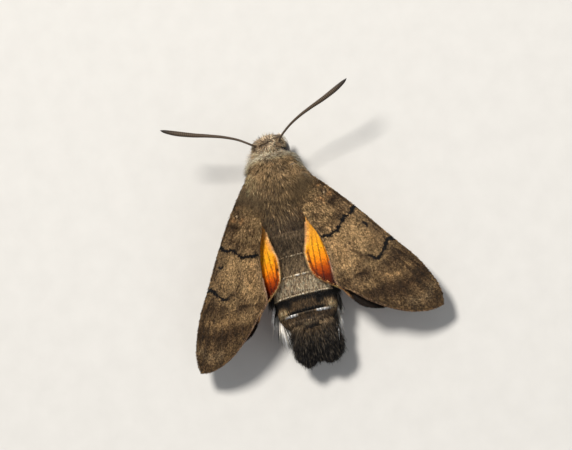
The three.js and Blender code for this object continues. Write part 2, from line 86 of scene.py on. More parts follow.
LEGS = {
    "front": [(0.8, 2.6, -1.9), (1.0, 3.9, -3.5), (1.35, 4.7, -3.6), (1.65, 5.1, -3.75),
              (1.4, 5.15, -4.6), (1.0, 5.4, SOLE), (0.75, 6.3, SOLE), (0.65, 7.2, SOLE)],
    "middle": [(1.1, 0.4, -2.2), (1.7, 0.5, -3.5), (3.3, 0.1, -3.2), (4.2, -0.4, -3.1),
               (4.75, -1.3, -4.2), (5.3, -2.4, SOLE), (5.9, -3.7, SOLE), (6.4, -5.0, SOLE)],
    "hind": [(1.0, -2.0, -1.9), (1.5, -2.9, -3.5), (2.5, -4.1, -3.5), (3.3, -5.0, -3.4),
             (3.75, -6.3, -4.3), (4.1, -7.6, SOLE), (4.25, -9.1, SOLE), (4.3, -10.6, SOLE)],
}
LEG_RADII = [0.55, 0.5, 0.44, 0.3, 0.3, 0.24, 0.2, 0.18]
SPURS = {"front": [], "middle": [0.62], "hind": [0.52, 0.63]}  # shares of the way down the leg

ROOF = math.radians(20)
ARCH = (0.5, 2.0, 12.5)  # the wings' rise, where it starts and how far it reaches
MEMBRANE = 0.14
FOREWING = {
    "root": (3.3, 1.8, 2.6), "sweep": {"right": 35.4, "left": 32.0}, "tip": 22.9,
    "costa": [(-0.6, -0.1), (1.5, -0.5), (4.8, -1.0), (8.1, -1.28), (9.6, -1.36), (13.4, -1.5),
              (16.8, -1.68), (19.9, -1.3), (21.8, -0.62), (22.9, 0.35)],
    "rear": [(-0.4, 1.2), (1.2, 2.75), (4.9, 3.8), (6.6, 4.15), (8.2, 4.7), (10.4, 5.85), (12.4, 7.0),
             (14.4, 6.4), (16.8, 5.72), (19.2, 4.65), (20.75, 3.6), (22.0, 2.3), (22.6, 1.3), (22.9, 0.4)],
    "veins": [
        [(0, 0.0), (8.4, -1.12), (12.5, -1.4)], [(0, 0.1), (9.3, -0.92), (15.8, -1.55)],
        [(0, 0.15), (9.7, -0.8), (18.6, -1.45)], [(0, 0.2), (10.2, -0.56), (21.4, -0.7)],
        [(0, 0.3), (10.4, -0.42), (22.9, 0.4)], [(10.5, -0.26), (16.5, 0.6), (22.4, 1.8)],
        [(10.3, 0.2), (16.0, 1.6), (21.3, 3.1)], [(0, 0.6), (10.0, 0.68), (15.5, 2.5), (19.9, 4.25)],
        [(0, 0.7), (9.6, 0.86), (14.0, 3.2), (17.6, 5.4)], [(0, 0.8), (8.6, 1.45), (12.0, 4.0), (14.8, 6.3)],
        [(0, 1.0), (6.8, 2.9), (12.3, 6.9)], [(10.5, -0.3), (10.35, 0.2), (9.95, 0.75)],
    ],
}
HINDWING = {
    "root": (2.6, -2.4, 1.66), "sweep": {"right": 40.0, "left": 40.5}, "tip": 15.3,
    "costa": [(-0.6, -0.5), (3.0, -1.45), (5.2, -1.62), (7.0, -1.7), (10.5, -1.55), (13.3, -0.8),
              (15.0, 0.5), (15.3, 1.6)],
    "rear": [(-0.2, 0.0), (1.4, 1.35), (2.7, 3.0), (3.6, 4.25), (5.2, 5.35), (6.2, 5.6), (7.6, 5.35),
             (9.6, 4.85), (11.0, 4.95), (12.8, 4.85), (14.6, 3.7), (15.15, 2.6), (15.3, 1.65)],
    "veins": [
        [(0, -0.35), (5.2, -1.2), (10.5, -1.5)], [(0, -0.3), (6.3, -0.6), (13.4, -0.7)],
        [(0, -0.25), (6.6, -0.2), (15.1, 0.7)], [(6.4, 0.45), (15.1, 2.3)], [(0, -0.15), (6.0, 1.1), (14.2, 4.0)],
        [(0, -0.1), (5.6, 1.4), (12.0, 4.9)], [(0, -0.05), (3.0, 1.2), (5.5, 2.8), (8.4, 5.0)],
        [(2.4, 1.1), (4.6, 3.0), (7.2, 5.3)], [(0, 0.0), (2.1, 1.4), (3.6, 3.0), (6.2, 5.4)],
        [(6.6, -0.3), (6.4, 0.45), (6.0, 1.1)],
    ],
}

# Dark lines of the forewing in wing coordinates
INNER_LINE = {
    "right": [(7.81, -1.31), (7.67, -0.84), (7.91, -0.48), (7.9, 0.04), (7.68, 0.59), (7.83, 1.12), (8.03, 1.61),
              (8.11, 2.05), (8.14, 2.44), (8.01, 2.83), (8.0, 3.26), (7.64, 3.68), (7.29, 4.18)],
    "left": [(8.08, -1.18), (8.34, -0.6), (8.29, -0.11), (7.99, 0.4), (7.94, 0.89), (8.19, 1.46),
             (8.34, 2.11), (8.14, 2.85), (7.79, 3.55), (7.44, 4.24)],
}
OUTER_LINE = {
    "right": [(13.66, -1.42), (13.14, -1.19), (13.17, -0.71), (13.5, -0.17), (13.74, 0.45), (13.94, 1.11),
              (13.93, 1.63), (13.58, 1.79), (12.81, 2.01), (12.12, 2.33)],
    "left": [(13.5, -1.42), (13.2, -1.1), (13.3, -0.6), (13.55, 0.0), (13.75, 0.6), (13.85, 1.15),
             (13.7, 1.6), (13.3, 1.85), (12.59, 2.12)],
}
CELL_DASH = {
    "right": [(9.75, -0.45), (10.1, -0.55), (10.4, -0.42)],
    "left": [(10.2, -0.15), (10.45, -0.35), (10.4, -0.6)],
}


# Numbers

def rgb(*display):
    """Display values of 0 to 255 as linear light."""
    c = np.asarray(display, float) / 255
    return np.where(c <= 0.04045, c / 12.92, ((c + 0.055) / 1.055) ** 2.4)


def cols(*parts):
    return np.stack(parts, -1)


def smooth(low, high, value):
    t = np.clip((value - low) / (high - low), 0, 1)
    return t * t * (3 - 2 * t)


def near(value, centre, width):
    return np.exp(-((value - centre) / width) ** 2)


def mix(a, b, t):
    """Two colours mixed in steps that look even."""
    t = np.asarray(t)[..., None]
    return (np.sqrt(a) * (1 - t) + np.sqrt(b) * t) ** 2


def painted(tint, *layers):
    """A colour under layers, each of them a colour and its share."""
    for colour, share in layers:
        tint = mix(tint, colour, share)
    return tint


def spline(values, t):
    """A smooth value from evenly spaced ones, as the solids take it."""
    v = np.asarray(values, float)
    n = len(v)
    p = np.clip(t, 0, 1) * (n - 1)
    i = np.minimum(p.astype(int), n - 2)
    w = p - i
    a, b, c, d = v[np.maximum(i - 1, 0)], v[i], v[i + 1], v[np.minimum(i + 2, n - 1)]
    if v.ndim > 1:
        w = w[..., None]
    s0, s1 = (c - a) / 2, (d - b) / 2
    return (2 * b - 2 * c + s0 + s1) * w**3 + (-3 * b + 3 * c - 2 * s0 - s1) * w**2 + s0 * w + b


def lattice(i, j, k, seed):
    """A random value from 0 to 1 for each whole place."""
    n = (i * 73856093) ^ (j * 19349663) ^ (k * 83492791) ^ (seed * 2654435761)
    n = ((n ^ (n >> 13)) * 1274126177) & 0x7FFFFFFF
    return ((n ^ (n >> 16)) & 0xFFFF) / 65535


def noise(points, size, seed=0):
    """Soft noise from 0 to 1 with features of about the given size, in one to three dimensions."""
    p = np.atleast_2d(np.asarray(points, float)) / size + 1000
    p = np.pad(p, ((0, 0), (0, 3 - p.shape[1])))
    cell = np.floor(p).astype(np.int64)
    f = p - cell
    f = f * f * (3 - 2 * f)
    total = 0
    for corner in np.ndindex(2, 2, 2):
        weight = np.prod(np.where(corner, f, 1 - f), axis=1)
        total = total + weight * lattice(*(cell + corner).T, seed)
    return total


def unit(v):
    return v / np.maximum(np.linalg.norm(v, axis=-1, keepdims=True), 1e-9)


def off_line(s, c, *lines):
    """Distance from each place on a wing to the nearest of some lines of points on it."""
    p = cols(s, c)
    best = np.inf
    for line in lines:
        points = np.array(line, float)
        for a, b in zip(points[:-1], points[1:]):
            ab = b - a
            t = np.clip(((p - a) @ ab) / (ab @ ab), 0, 1)
            best = np.minimum(best, np.linalg.norm(p - a - t[..., None] * ab, axis=-1))
    return best


# Curved grids: rows run from front to back, columns run round

def polar(rows):
    return np.pi * (np.arange(rows) + 0.3) / (rows - 0.4)


def around(sides):
    return np.arange(sides) * 2 * math.pi / sides


def profile_grid(body, ys, sides, grow):
    """Rings of a body at the given y, or so many of them from end to end, grown from the solid."""
    rear, front, blunt, boxy = (body[name] for name in ("rear", "front", "blunt", "boxy"))
    middle, reach = (rear + front) / 2, (front - rear) / 2 + grow
    if isinstance(ys, int):
        ys = middle + reach * np.cos(polar(ys))
    t = (ys - rear) / (front - rear)
    closing = np.maximum(0, 1 - (np.abs(ys - middle) / reach) ** blunt) ** (1 / blunt)
    top, bottom = spline(body["top"], t), spline(body["bottom"], t)
    half_width = (spline(body["half_width"], t) + grow) * closing
    half_height = ((top - bottom) / 2 + grow) * closing
    x, z = np.cos(around(sides)), np.sin(around(sides))
    length = (np.abs(x) ** boxy + np.abs(z) ** boxy) ** (-1 / boxy)
    return cols(spline(body["sideways"], t)[:, None] + half_width[:, None] * (x * length),
                np.repeat(ys[:, None], sides, 1),
                ((top + bottom) / 2)[:, None] + half_height[:, None] * (z * length))


def ball_grid(ball, grow=0.0, rows=40, sides=64, side=1, shift=0.0):
    rx, ry, rz = (r + grow for r in ball["radii"])
    ring, angle = polar(rows)[:, None], around(sides)
    x, y, z = rx * np.sin(ring) * np.cos(angle), ry * np.cos(ring) * np.ones(sides), rz * np.sin(ring) * np.sin(angle)
    yaw = math.radians(ball.get("yaw", 0) * side)
    x, y = x * math.cos(yaw) - y * math.sin(yaw), x * math.sin(yaw) + y * math.cos(yaw)
    at = ball["at"]
    return cols(x + at[0] * side + shift, y + at[1], z + at[2])


def tube_grid(path, radii, rows, sides, side=1, tall=1.0, grow=0.0):
    t = np.linspace(0, 1, rows)
    centre = spline(np.array(path, float) * (side, 1, 1), t)
    along = unit(np.gradient(centre, axis=0))
    across = unit(np.cross(along, (0, 0, 1)) + (1e-6, 0, 0))
    up = unit(np.cross(across, along))
    radius = (spline(radii, t) + grow)[:, None, None]
    angle = around(sides)[:, None]
    return centre[:, None] + (across[:, None] * np.cos(angle) + up[:, None] * np.sin(angle) * tall) * radius


def ringed(grid, size):
    """A tube swollen and pinched about its middle line."""
    centre = grid.mean(1, keepdims=True)
    return centre + (grid - centre) * size[:, None, None]


def quads(a, b, c, d):
    return np.concatenate([cols(a, b, c), cols(a, c, d)])


def closed(grid):
    """Points and faces of a grid that closes round, with a fan to a hub at each end."""
    rows, sides, _ = grid.shape
    ring = np.arange(sides)
    after = (ring + 1) % sides
    start = np.arange(rows - 1)[:, None] * sides
    a, b = (start + ring).ravel(), (start + after).ravel()
    hub, last = np.full(sides, rows * sides), (rows - 1) * sides
    points = np.concatenate([grid.reshape(-1, 3), grid[:1].mean(1), grid[-1:].mean(1)])
    return points, outward(points, np.concatenate([
        quads(a, b, b + sides, a + sides), cols(hub, after, ring), cols(hub + 1, last + ring, last + after)]))


def outward(points, faces):
    a, b, c = (points[faces[:, k]] - points.mean(0) for k in range(3))
    return faces if np.einsum("ij,ij->i", a, np.cross(b, c)).sum() > 0 else faces[:, ::-1]


def joined(parts):
    """Several sets of points, faces and whatever else each point has as one set."""
    points, faces, *others = zip(*parts)
    starts = np.cumsum([0, *map(len, points)])
    return (np.concatenate(points), np.concatenate([f + start for f, start in zip(faces, starts)]),
            *map(np.concatenate, others))


def grounded(points, level):
    points[:, 2] = np.maximum(points[:, 2], level)
    return points


# Blender objects

def linked(name, data):
    obj = bpy.data.objects.new(name, data)
    bpy.context.scene.collection.objects.link(obj)
    return obj


def build(name, points, faces, tint=None, patch=None, look=None, slot=None, nodes=(), flat=False):
    """A visible piece on the moth's one body, in place of the named nodes."""
    mesh = bpy.data.meshes.new(name)
    mesh.vertices.add(len(points))
    mesh.vertices.foreach_set("co", ((points + SHIFT) * MM).astype(np.float32).ravel())
    mesh.loops.add(faces.size)
    mesh.loops.foreach_set("vertex_index", faces.astype(np.int32).ravel())
    mesh.polygons.add(len(faces))
    mesh.polygons.foreach_set("loop_start", np.arange(0, faces.size, 3, dtype=np.int32))
    mesh.update(calc_edges=True)
    mesh.polygons.foreach_set("use_smooth", np.full(len(faces), not flat))
    if tint is not None:
        rgba = np.concatenate([np.clip(tint, 0, 1), np.ones((len(tint), 1))], 1).astype(np.float32)
        mesh.color_attributes.new("Tint", "FLOAT_COLOR", "POINT").data.foreach_set("color", rgba.ravel())
    if patch is not None:
        mesh.uv_layers.new(name="OFBake").uv.foreach_set("vector", patch[faces.ravel()].astype(np.float32).ravel())
    mesh.validate()
    mesh.materials.append(look)
    obj = linked(name, mesh)
    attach(obj, "root")
    if nodes:
        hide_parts(*nodes)


# Colours of the body

OLIVE, TAN, CREAM, WHITE = rgb(130, 106, 74), rgb(172, 144, 108), rgb(210, 184, 150), rgb(240, 232, 218)
UMBER, BLACK = rgb(74, 58, 42), rgb(20, 17, 14)


def head_tint(p):
    x, _, z = p.T
    return painted(
        rgb(124, 104, 80), (rgb(172, 150, 124), smooth(0.35, 0.7, noise(p, 0.45, 3))),
        (UMBER, 0.5 * smooth(0.55, 0.8, noise(p, 0.35, 4))),
        (CREAM, 0.55 * smooth(1.2, 1.9, np.abs(x - HEAD["at"][0])) * smooth(-0.6, 0.4, z)),
        (WHITE, smooth(-0.5, -1.6, z) * 0.85))


def thorax_tint(p):
    x, y, z = p.T
    outline = np.abs(x + 0.1) - 4.2 + 0.56 * (y - 1.5)
    return painted(
        OLIVE, (rgb(138, 115, 88), smooth(-1.0, -4.5, y)),
        # Paler at the sides: the pale edges are the thorax's own, but the broad pallor over the left side is painted
        # light from the lamp's side.
        (rgb(172, 144, 107), 0.85 * smooth(-0.4, -3.0, x) + 0.4 * smooth(1.6, 3.6, x)),
        (rgb(140, 115, 82), 0.6 * smooth(1.6, 3.4, y)),
        (rgb(205, 179, 145), 0.85 * smooth(3.9, 4.6, y) * smooth(-2.0, 0.5, z)),
        (rgb(214, 200, 178), 0.7 * smooth(-0.6, -0.1, outline) * smooth(0.8, 2.2, y)),
        (BLACK, 0.9 * near(np.hypot(x + 0.2, y - 4.0), 0, 0.22) * (z > 0)),
        (TAN, 0.3 * smooth(0.55, 0.8, noise(p * (1, 0.35, 1), 0.5, 5))),
        (WHITE, smooth(-0.2, -2.0, z) * 0.75))


def collar_tint(p):
    x, y, z = p.T
    return painted(
        thorax_tint(p), (rgb(184, 162, 134), 0.7 * smooth(3.6, 4.5, y) * smooth(-1, 1, z)),
        (rgb(214, 200, 178), 0.6 * smooth(2.2, 3.4, np.abs(x))))


def neck_tint(p):
    return mix(collar_tint(p), head_tint(p), 0.85 * flare(p))


def palp_tint(p):
    return mix(WHITE, rgb(128, 106, 80), smooth(-2.0, -1.2, p[:, 2]) * 0.8)


def abdomen_tint(p):
    x, true_y, z = p.T
    side = np.abs(x + 0.15)
    rough = (noise(p, 0.3, 7) - 0.5) * 0.35
    y = true_y + rough * 0.6
    slit = smooth(-13.75, -13.85, true_y) * smooth(-14.35, -14.25, true_y)
    return painted(
        rgb(92, 76, 56), (rgb(122, 102, 76), smooth(-7.2, -8.2, y)),
        (rgb(146, 123, 94), smooth(-8.4, -9.8, y)),
        (rgb(190, 163, 131), smooth(-9.9, -10.2, y)),
        (rgb(98, 77, 53), smooth(-11.8, -12.2, y)),
        (rgb(112, 90, 64), 0.6 * near(y, -13.3, 0.6) * smooth(2.0, 0.6, side)),
        (BLACK, 0.9 * smooth(0.36, 0.22, np.abs(y + 12.45))),
        (BLACK * 0.5, smooth(1.2, 1.9, side + rough) * smooth(0.75, 0.5, np.abs(y + 12.75))),
        (BLACK * 0.6, smooth(3.3, 3.8, side) * smooth(-10.8, -11.5, y)),
        (rgb(236, 196, 146), 0.98 * near(side, 2.8 + 0.25 * (x > 0), 0.75) * near(y, -13.6, 0.5)),
        (rgb(104, 85, 63), smooth(-14.7, -15.0, y) * smooth(3.0, 1.6, side)),
        (BLACK, smooth(2.4, 3.0, side) * near(y, -15.7, 0.6)),
        # Painted shade: the gap before the last plates is darkened in its middle.
        (BLACK * 0.3, smooth(2.3, 2.0, side) * slit),
        (rgb(160, 136, 106), 0.8 * near(x, -2.4, 0.6) * near(y, -15.1, 0.45)),
        (rgb(150, 130, 104), smooth(-1.2, -2.4, z) * 0.8),
        (WHITE, smooth(-1.2, -2.0, z) * near(side, 3.2, 0.7) * smooth(-9.0, -11.0, true_y) * 0.8))


def edge_tint(p):
    """Short pale hairs stand along the rear edge of a plate."""
    dots = smooth(0.35, 0.65, noise(p[:, :1], 0.25, 17)) * smooth(0.2, 0.5, noise(p[:, :1], 1.1, 18))
    line = np.interp(p[:, 1], [-12.5, -12.0, -10.3, -9.7, -8.0, -7.4], [0.4, 0.4, 0.85, 0.85, 0.5, 0.5])
    return mix(abdomen_tint(p + (0, 0.4, 0)), rgb(232, 212, 180), line * (0.1 + 0.9 * dots))


def slit_tint(p):
    """Hairs at the gap before the last plates are painted near-black in the middle, as painted shade in the gap."""
    return mix(BLACK * 0.3, abdomen_tint(p), smooth(2.1, 2.5, np.abs(p[:, 0] - 0.05)))


def dash_tint(p):
    """Two white dashes lie just behind the gap."""
    side = np.abs(p[:, 0] - 0.05)
    white = smooth(1.0, 1.4, side) * smooth(3.0, 2.7, side) * smooth(-0.5, 0.0, p[:, 2])
    return painted(rgb(50, 40, 30), (rgb(112, 90, 64), noise(p, 0.3, 33)),
                   (rgb(255, 252, 248), white * (0.6 + 0.4 * smooth(0.3, 0.6, noise(p, 0.15, 35)))))


def arch_tint(p):
    """The last plate's hairs are tipped with tan in an arch over the base of the tail."""
    x, y, _ = p.T
    arch = y + 15.25 + 0.13 * (x - 0.3) ** 2
    return painted(
        abdomen_tint(p) * 0.9, (rgb(104, 85, 62), smooth(0.4, 0.75, noise(p, 0.15, 34))),
        (rgb(196, 166, 128), 0.75 * near(arch, 0, 0.16) * smooth(0.3, 0.55, noise(p, 0.2, 36))),
        (BLACK, np.maximum(smooth(3.1, 3.5, np.abs(x)), 0.8 * smooth(-0.2, -0.5, arch))))


def tail_tint(p):
    x, y, _ = p.T
    brown = smooth(0.5, 0.75, noise(p * (1, 0.25, 1), 0.4, 11))
    return painted(rgb(88, 72, 54), (rgb(26, 23, 21), smooth(-16.4, -18.6, y - 0.35 * np.abs(x - 0.2))),
                   (rgb(92, 74, 54), 0.35 * brown * smooth(-19.6, -17.5, y)))


def leg_tint(p):
    return painted(rgb(112, 94, 70), (rgb(150, 130, 102), smooth(0.35, 0.65, noise(p, 0.5, 21))),
                   (CREAM, 0.7 * smooth(-4.9, -5.3, p[:, 2]) * smooth(0.3, 0.7, noise(p, 0.9, 22))))


def body_tint(p):
    y = p[:, 1]
    return painted(head_tint(p), (thorax_tint(p), smooth(5.1, 4.6, y)), (abdomen_tint(p), smooth(-5.4, -6.0, y)),
                   (tail_tint(p), smooth(-16.0, -16.5, y)))


# Materials

def fill(node, **values):
    for name, value in values.items():
        node.inputs[name.replace("_", " ")].default_value = value
    return node


def material(name, roughness, colour=None, grain=0.0, grain_scale=9000, bump=0.0, specular=0.3, sheen=0.0,
             coat=0.0, cells=0.0):
    """The tint of each point, or one colour, under a fine grain; cells give the relief of an eye's facets."""
    mat = bpy.data.materials.new(name)
    mat.use_nodes = True
    nodes, link = mat.node_tree.nodes, mat.node_tree.links.new
    shader = fill(nodes["Principled BSDF"], Roughness=roughness, Specular_IOR_Level=specular, Sheen_Weight=sheen,
                  Sheen_Roughness=0.4, Coat_Weight=coat, Coat_Roughness=0.06)
    place = nodes.new("ShaderNodeTexCoord").outputs["Object"]
    speckle = fill(nodes.new("ShaderNodeTexNoise"), Scale=grain_scale, Detail=3)
    link(place, speckle.inputs["Vector"])
    spread = fill(nodes.new("ShaderNodeMapRange"), From_Min=0.3, From_Max=0.7, To_Min=1 - grain, To_Max=1 + grain)
    link(speckle.outputs["Fac"], spread.inputs["Value"])
    scale = nodes.new("ShaderNodeVectorMath")
    scale.operation = "SCALE"
    if colour:
        scale.inputs[0].default_value = colour
    else:
        source = nodes.new("ShaderNodeAttribute")
        source.attribute_name = "Tint"
        link(source.outputs["Color"], scale.inputs[0])
    link(spread.outputs["Result"], scale.inputs["Scale"])
    link(scale.outputs["Vector"], shader.inputs["Base Color"])
    if bump:
        height = speckle.outputs["Fac"]
        if cells:
            facets = fill(nodes.new("ShaderNodeTexVoronoi"), Scale=cells)
            link(place, facets.inputs["Vector"])
            height = facets.outputs["Distance"]
        relief = fill(nodes.new("ShaderNodeBump"), Strength=bump, Distance=0.00004)
        link(height, relief.inputs["Height"])
        link(relief.outputs["Normal"], shader.inputs["Normal"])
    return mat


SKIN = material("skin_under_the_coat", 0.85, grain=0.2, bump=0.5)
HAIR = material("hair_scales", 0.72, grain=0.12, grain_scale=14000, specular=0.22, sheen=0.1)
TAIL_HAIR = material("tail_hair_scales", 0.55, grain=0.15, grain_scale=12000)
FORE_MEMBRANE = material("forewing_membrane", 0.8, grain=0.2, bump=0.6)
HIND_MEMBRANE = material("hindwing_membrane", 0.75, grain=0.12, bump=0.5)
WING_SCALES = material("wing_scales", 0.72, grain=0.1, grain_scale=16000, specular=0.12, sheen=0.03)
FEELER = material("feeler_rings", 0.5, grain=0.15, grain_scale=14000, bump=0.3)
EYE_GLOSS = material("eye_facets", 0.25, (0.008, 0.005, 0.004), grain=0.5, grain_scale=1200, bump=0.06, coat=0.3,
                     cells=30000)
HORN = material("horny_claws", 0.35, (0.05, 0.03, 0.018), grain=0.3, bump=0.2)
TONGUE_SKIN = material("tongue", 0.35, grain=0.2, bump=0.2, specular=0.5)


# Coats of hair

def frame_of(grid, wrap=True):
    """The unit way back along a grid, its outward normal and the area at each of its points."""
    along = np.gradient(grid, axis=0)
    across = (np.roll(grid, -1, 1) - np.roll(grid, 1, 1)) / 2 if wrap else np.gradient(grid, axis=1)
    normal = np.cross(along, across)
    if wrap and ((grid - grid.mean(1, keepdims=True)) * normal).sum() < 0:
        normal = -normal
    return unit(along), unit(normal), np.linalg.norm(normal, axis=-1)


def scatter(weight, count, rng, wrap=True):
    """Even random places on a grid: a reader of any field over it, and the unwrapped places."""
    sides = weight.shape[1]
    weight = weight[:-1] if wrap else weight[:-1, :-1]
    total = np.cumsum(weight.ravel())
    pick = (np.arange(count) + rng.random(count)) / count * total[-1]
    i, j = np.divmod(np.minimum(np.searchsorted(total, pick), len(total) - 1), weight.shape[1])
    k = (j + 1) % sides
    u, v = rng.random(count)[:, None], rng.random(count)[:, None]

    def at(field):
        row, after = (field[r, j] * (1 - u) + field[r, k] * u for r in (i, i + 1))
        return row * (1 - v) + after * v

    place = cols((j + u[:, 0]) / weight.shape[1], (i + v[:, 0]) / weight.shape[0])
    return at, place * 0.98 + 0.01


def copies(points, faces, colour, shades, place, corners):
    """Points, faces, tints and baking patches of many small solids of one pattern."""
    faces = outward(points[0], np.array(faces)) + np.arange(len(points))[:, None, None] * points.shape[1]
    tint = colour[:, None] * np.array(shades)[:, None]
    patch = place[:, None] + np.array(corners) * PATCH
    return points.reshape(-1, 3), faces.reshape(-1, 3), tint.reshape(-1, 3), patch.reshape(-1, 2)


def tufts(root, normal, lie, place, colour, length, width, lift, droop=0.0, rings=1, sunk=0.08, shade=(0.72, 1.08)):
    """Slim closed tufts with a roof-shaped section, which taper to a point."""
    length, width, lift, droop = (np.broadcast_to(v, len(root))[:, None] for v in (length, width, lift, droop))
    across = unit(np.cross(lie, normal))
    points, shades, corners, faces = [], [], [], [(0, 1, 2)]
    # shade runs from root to tip: painted shade at the roots, under the coat, and painted light on the tips; the top
    # ridge gets a painted highlight of 0.06 more.
    for t, wide in [(0.0, 1.0)] if rings == 1 else [(0.0, 0.8), (0.5, 1.0)]:
        middle = root - normal * sunk * (1 - t) + lie * length * t + normal * length * (lift * t - droop * t * t)
        for way, high in ((-1, 0), (1, 0), (0, 1)):
            points.append(middle + across * way * width * wide / 2 + normal * high * width * wide * 0.4)
            shades.append(shade[0] + (shade[1] - shade[0]) * t + 0.06 * high)
            corners.append((way * 0.5, t - 0.5))
    points.append(root + lie * length + normal * length * (lift - droop))
    last = 3 * rings - 3
    for k, m in ((0, 1), (1, 2), (2, 0)):
        if last:
            faces += [(k, 3 + m, m), (k, 3 + k, 3 + m)]
    faces += [(last + k, last + 3, last + (k + 1) % 3) for k in range(3)]
    return copies(np.stack(points, 1), faces, colour, [*shades, shade[1]], place, [*corners, (0, 0.5)])


def grizzle(rng, root, spread=0.2, dark=0.1, pale=0.08, clump=(1, 0.4, 1), size=0.13):
    """Brightness from tuft to tuft and clump to clump, with a few much darker and much paler ones."""
    count = len(root)
    tone = noise(root * clump, size, 91) - 0.5
    value = np.exp(rng.normal(0, spread, count) + tone * spread * 4.5)
    chance = rng.random(count)
    value = np.where(chance < dark, value * 0.4, value)
    return np.clip(np.where(chance > 1 - pale, value * 1.8, value), 0.2, 2.3)[:, None]


def coat_on(grid, count, seed, tint, length, width, lift, keep=None, rings=1, droop=0.0, swirl=0.25, lie=None,
            spread=0.2, dark=0.1, pale=0.08, shade=(0.72, 1.08)):
    """Tufts over a grid. Tint, length, lift and lie may go by place, and keep gives their density."""
    rng = np.random.default_rng(seed)
    along, normal, area = frame_of(grid)
    at, place = scatter(area if keep is None else area * keep(grid), count, rng)
    root, way, normal = at(grid), unit(at(along)), unit(at(normal))
    if lie:
        way = lie(root)
    angle = (rng.normal(0, swirl, count) + (noise(root, 1.6, seed) - 0.5) * 3.3 * swirl)[:, None]
    way = unit(way - normal * np.einsum("ij,ij->i", way, normal)[:, None])
    way = way * np.cos(angle) + np.cross(normal, way) * np.sin(angle)
    colour = tint(root) * grizzle(rng, root, spread, dark, pale)
    size = np.exp(rng.normal(0, 0.16, count))
    long, rise = (value(root) if callable(value) else value for value in (length, lift))
    rise = rise + rng.normal(0, 0.04, count)
    return tufts(root, normal, way, place, colour, long * size, width * np.exp(rng.normal(0, 0.2, count)), rise,
                 droop, rings, shade=shade)


def swept_back(p):
    return cols(p[:, 0] * 0.2, -np.ones(len(p)), np.zeros(len(p)))


def always(*way):
    return lambda p: np.tile(way, (len(p), 1))


def above(level, rest):
    return lambda g: np.where(g[..., 2] > level, 1, rest)


def flattened(p):
    """Fur lies close along the rear of the right eye, whose edge shows."""
    x, y, z = p.T
    return smooth(0.5, 0.9, x) * smooth(4.4, 4.8, y) * smooth(6.2, 5.9, y) * smooth(-1.6, -0.6, z)


def flare(p):
    """Fur stands out at the neck's sides and fills the step to the thorax."""
    x, y, z = p.T
    return smooth(0.8, 1.5, np.abs(x)) * smooth(-1.0, 0.0, z) * np.where(x < 0, 1, smooth(4.8, 4.5, y))


# shade gives each tuft painted shade at its root and painted light at its tip.
fur = partial(coat_on, lie=swept_back, spread=0.72, dark=0.27, pale=0.2, shade=(0.32, 1.55))
plush = partial(coat_on, spread=0.72, dark=0.22, pale=0.22, shade=(0.5, 1.3))


def add_coat(name, groups, slot="coat_olive", look=HAIR):
    build(name, *joined(groups), look=look, slot=slot)


def make_skin():
    """One skin for all the flesh: head, trunk and palps melt together, and the legs stand in it."""
    parts = [profile_grid(THORAX, 40, 64, -0.5), profile_grid(ABDOMEN, 50, 64, -0.32),
             ball_grid(HEAD, -0.35), ball_grid(TAIL, -0.4), ball_grid(NECK)]
    for side in BOTH:
        parts += [ball_grid(TEGULA, -0.45, side=side), tube_grid(*PALP, 24, 16, side, 1.2, -0.12)]
    points, faces = joined(map(closed, parts))
    mesh = bpy.data.meshes.new("skin_source")
    mesh.from_pydata(points.tolist(), [], faces.tolist())
    source = linked("skin_source", mesh)
    melt, relax, split = (source.modifiers.new(kind, kind) for kind in ("REMESH", "SMOOTH", "TRIANGULATE"))
    melt.mode, melt.voxel_size = "VOXEL", 0.13
    relax.factor, relax.iterations = 0.5, 5
    split.quad_method = "SHORTEST_DIAGONAL"
    done = source.evaluated_get(bpy.context.evaluated_depsgraph_get()).to_mesh()
    body = np.empty(len(done.vertices) * 3, np.float32)
    done.vertices.foreach_get("co", body)
    body = body.reshape(-1, 3).astype(float)
    body_faces = np.empty(len(done.polygons) * 3, np.int32)
    done.loops.foreach_get("vertex_index", body_faces)
    source.to_mesh_clear()
    bpy.data.objects.remove(source)
    bpy.data.meshes.remove(mesh)
    limbs, limb_faces = joined(closed(tube_grid(path, LEG_RADII, 60, 14, side, grow=-0.05))
                               for path in LEGS.values() for side in BOTH)
    grounded(limbs, FLOOR)
    # The skin is a darker copy of the coat's colours: painted shade under the hair.
    tint = np.concatenate([body_tint(body), leg_tint(limbs)]) * 0.8
    nodes = ["head", "thorax", "abdomen", "tail_fan"]
    nodes += [f"{part}_{word}" for word in SIDES for part in ("palp", "leg_front", "leg_middle", "leg_hind")]
    build("skin", *joined([(body, body_faces.reshape(-1, 3)), (limbs, limb_faces)]), tint, look=SKIN,
          slot="coat_olive", nodes=nodes)


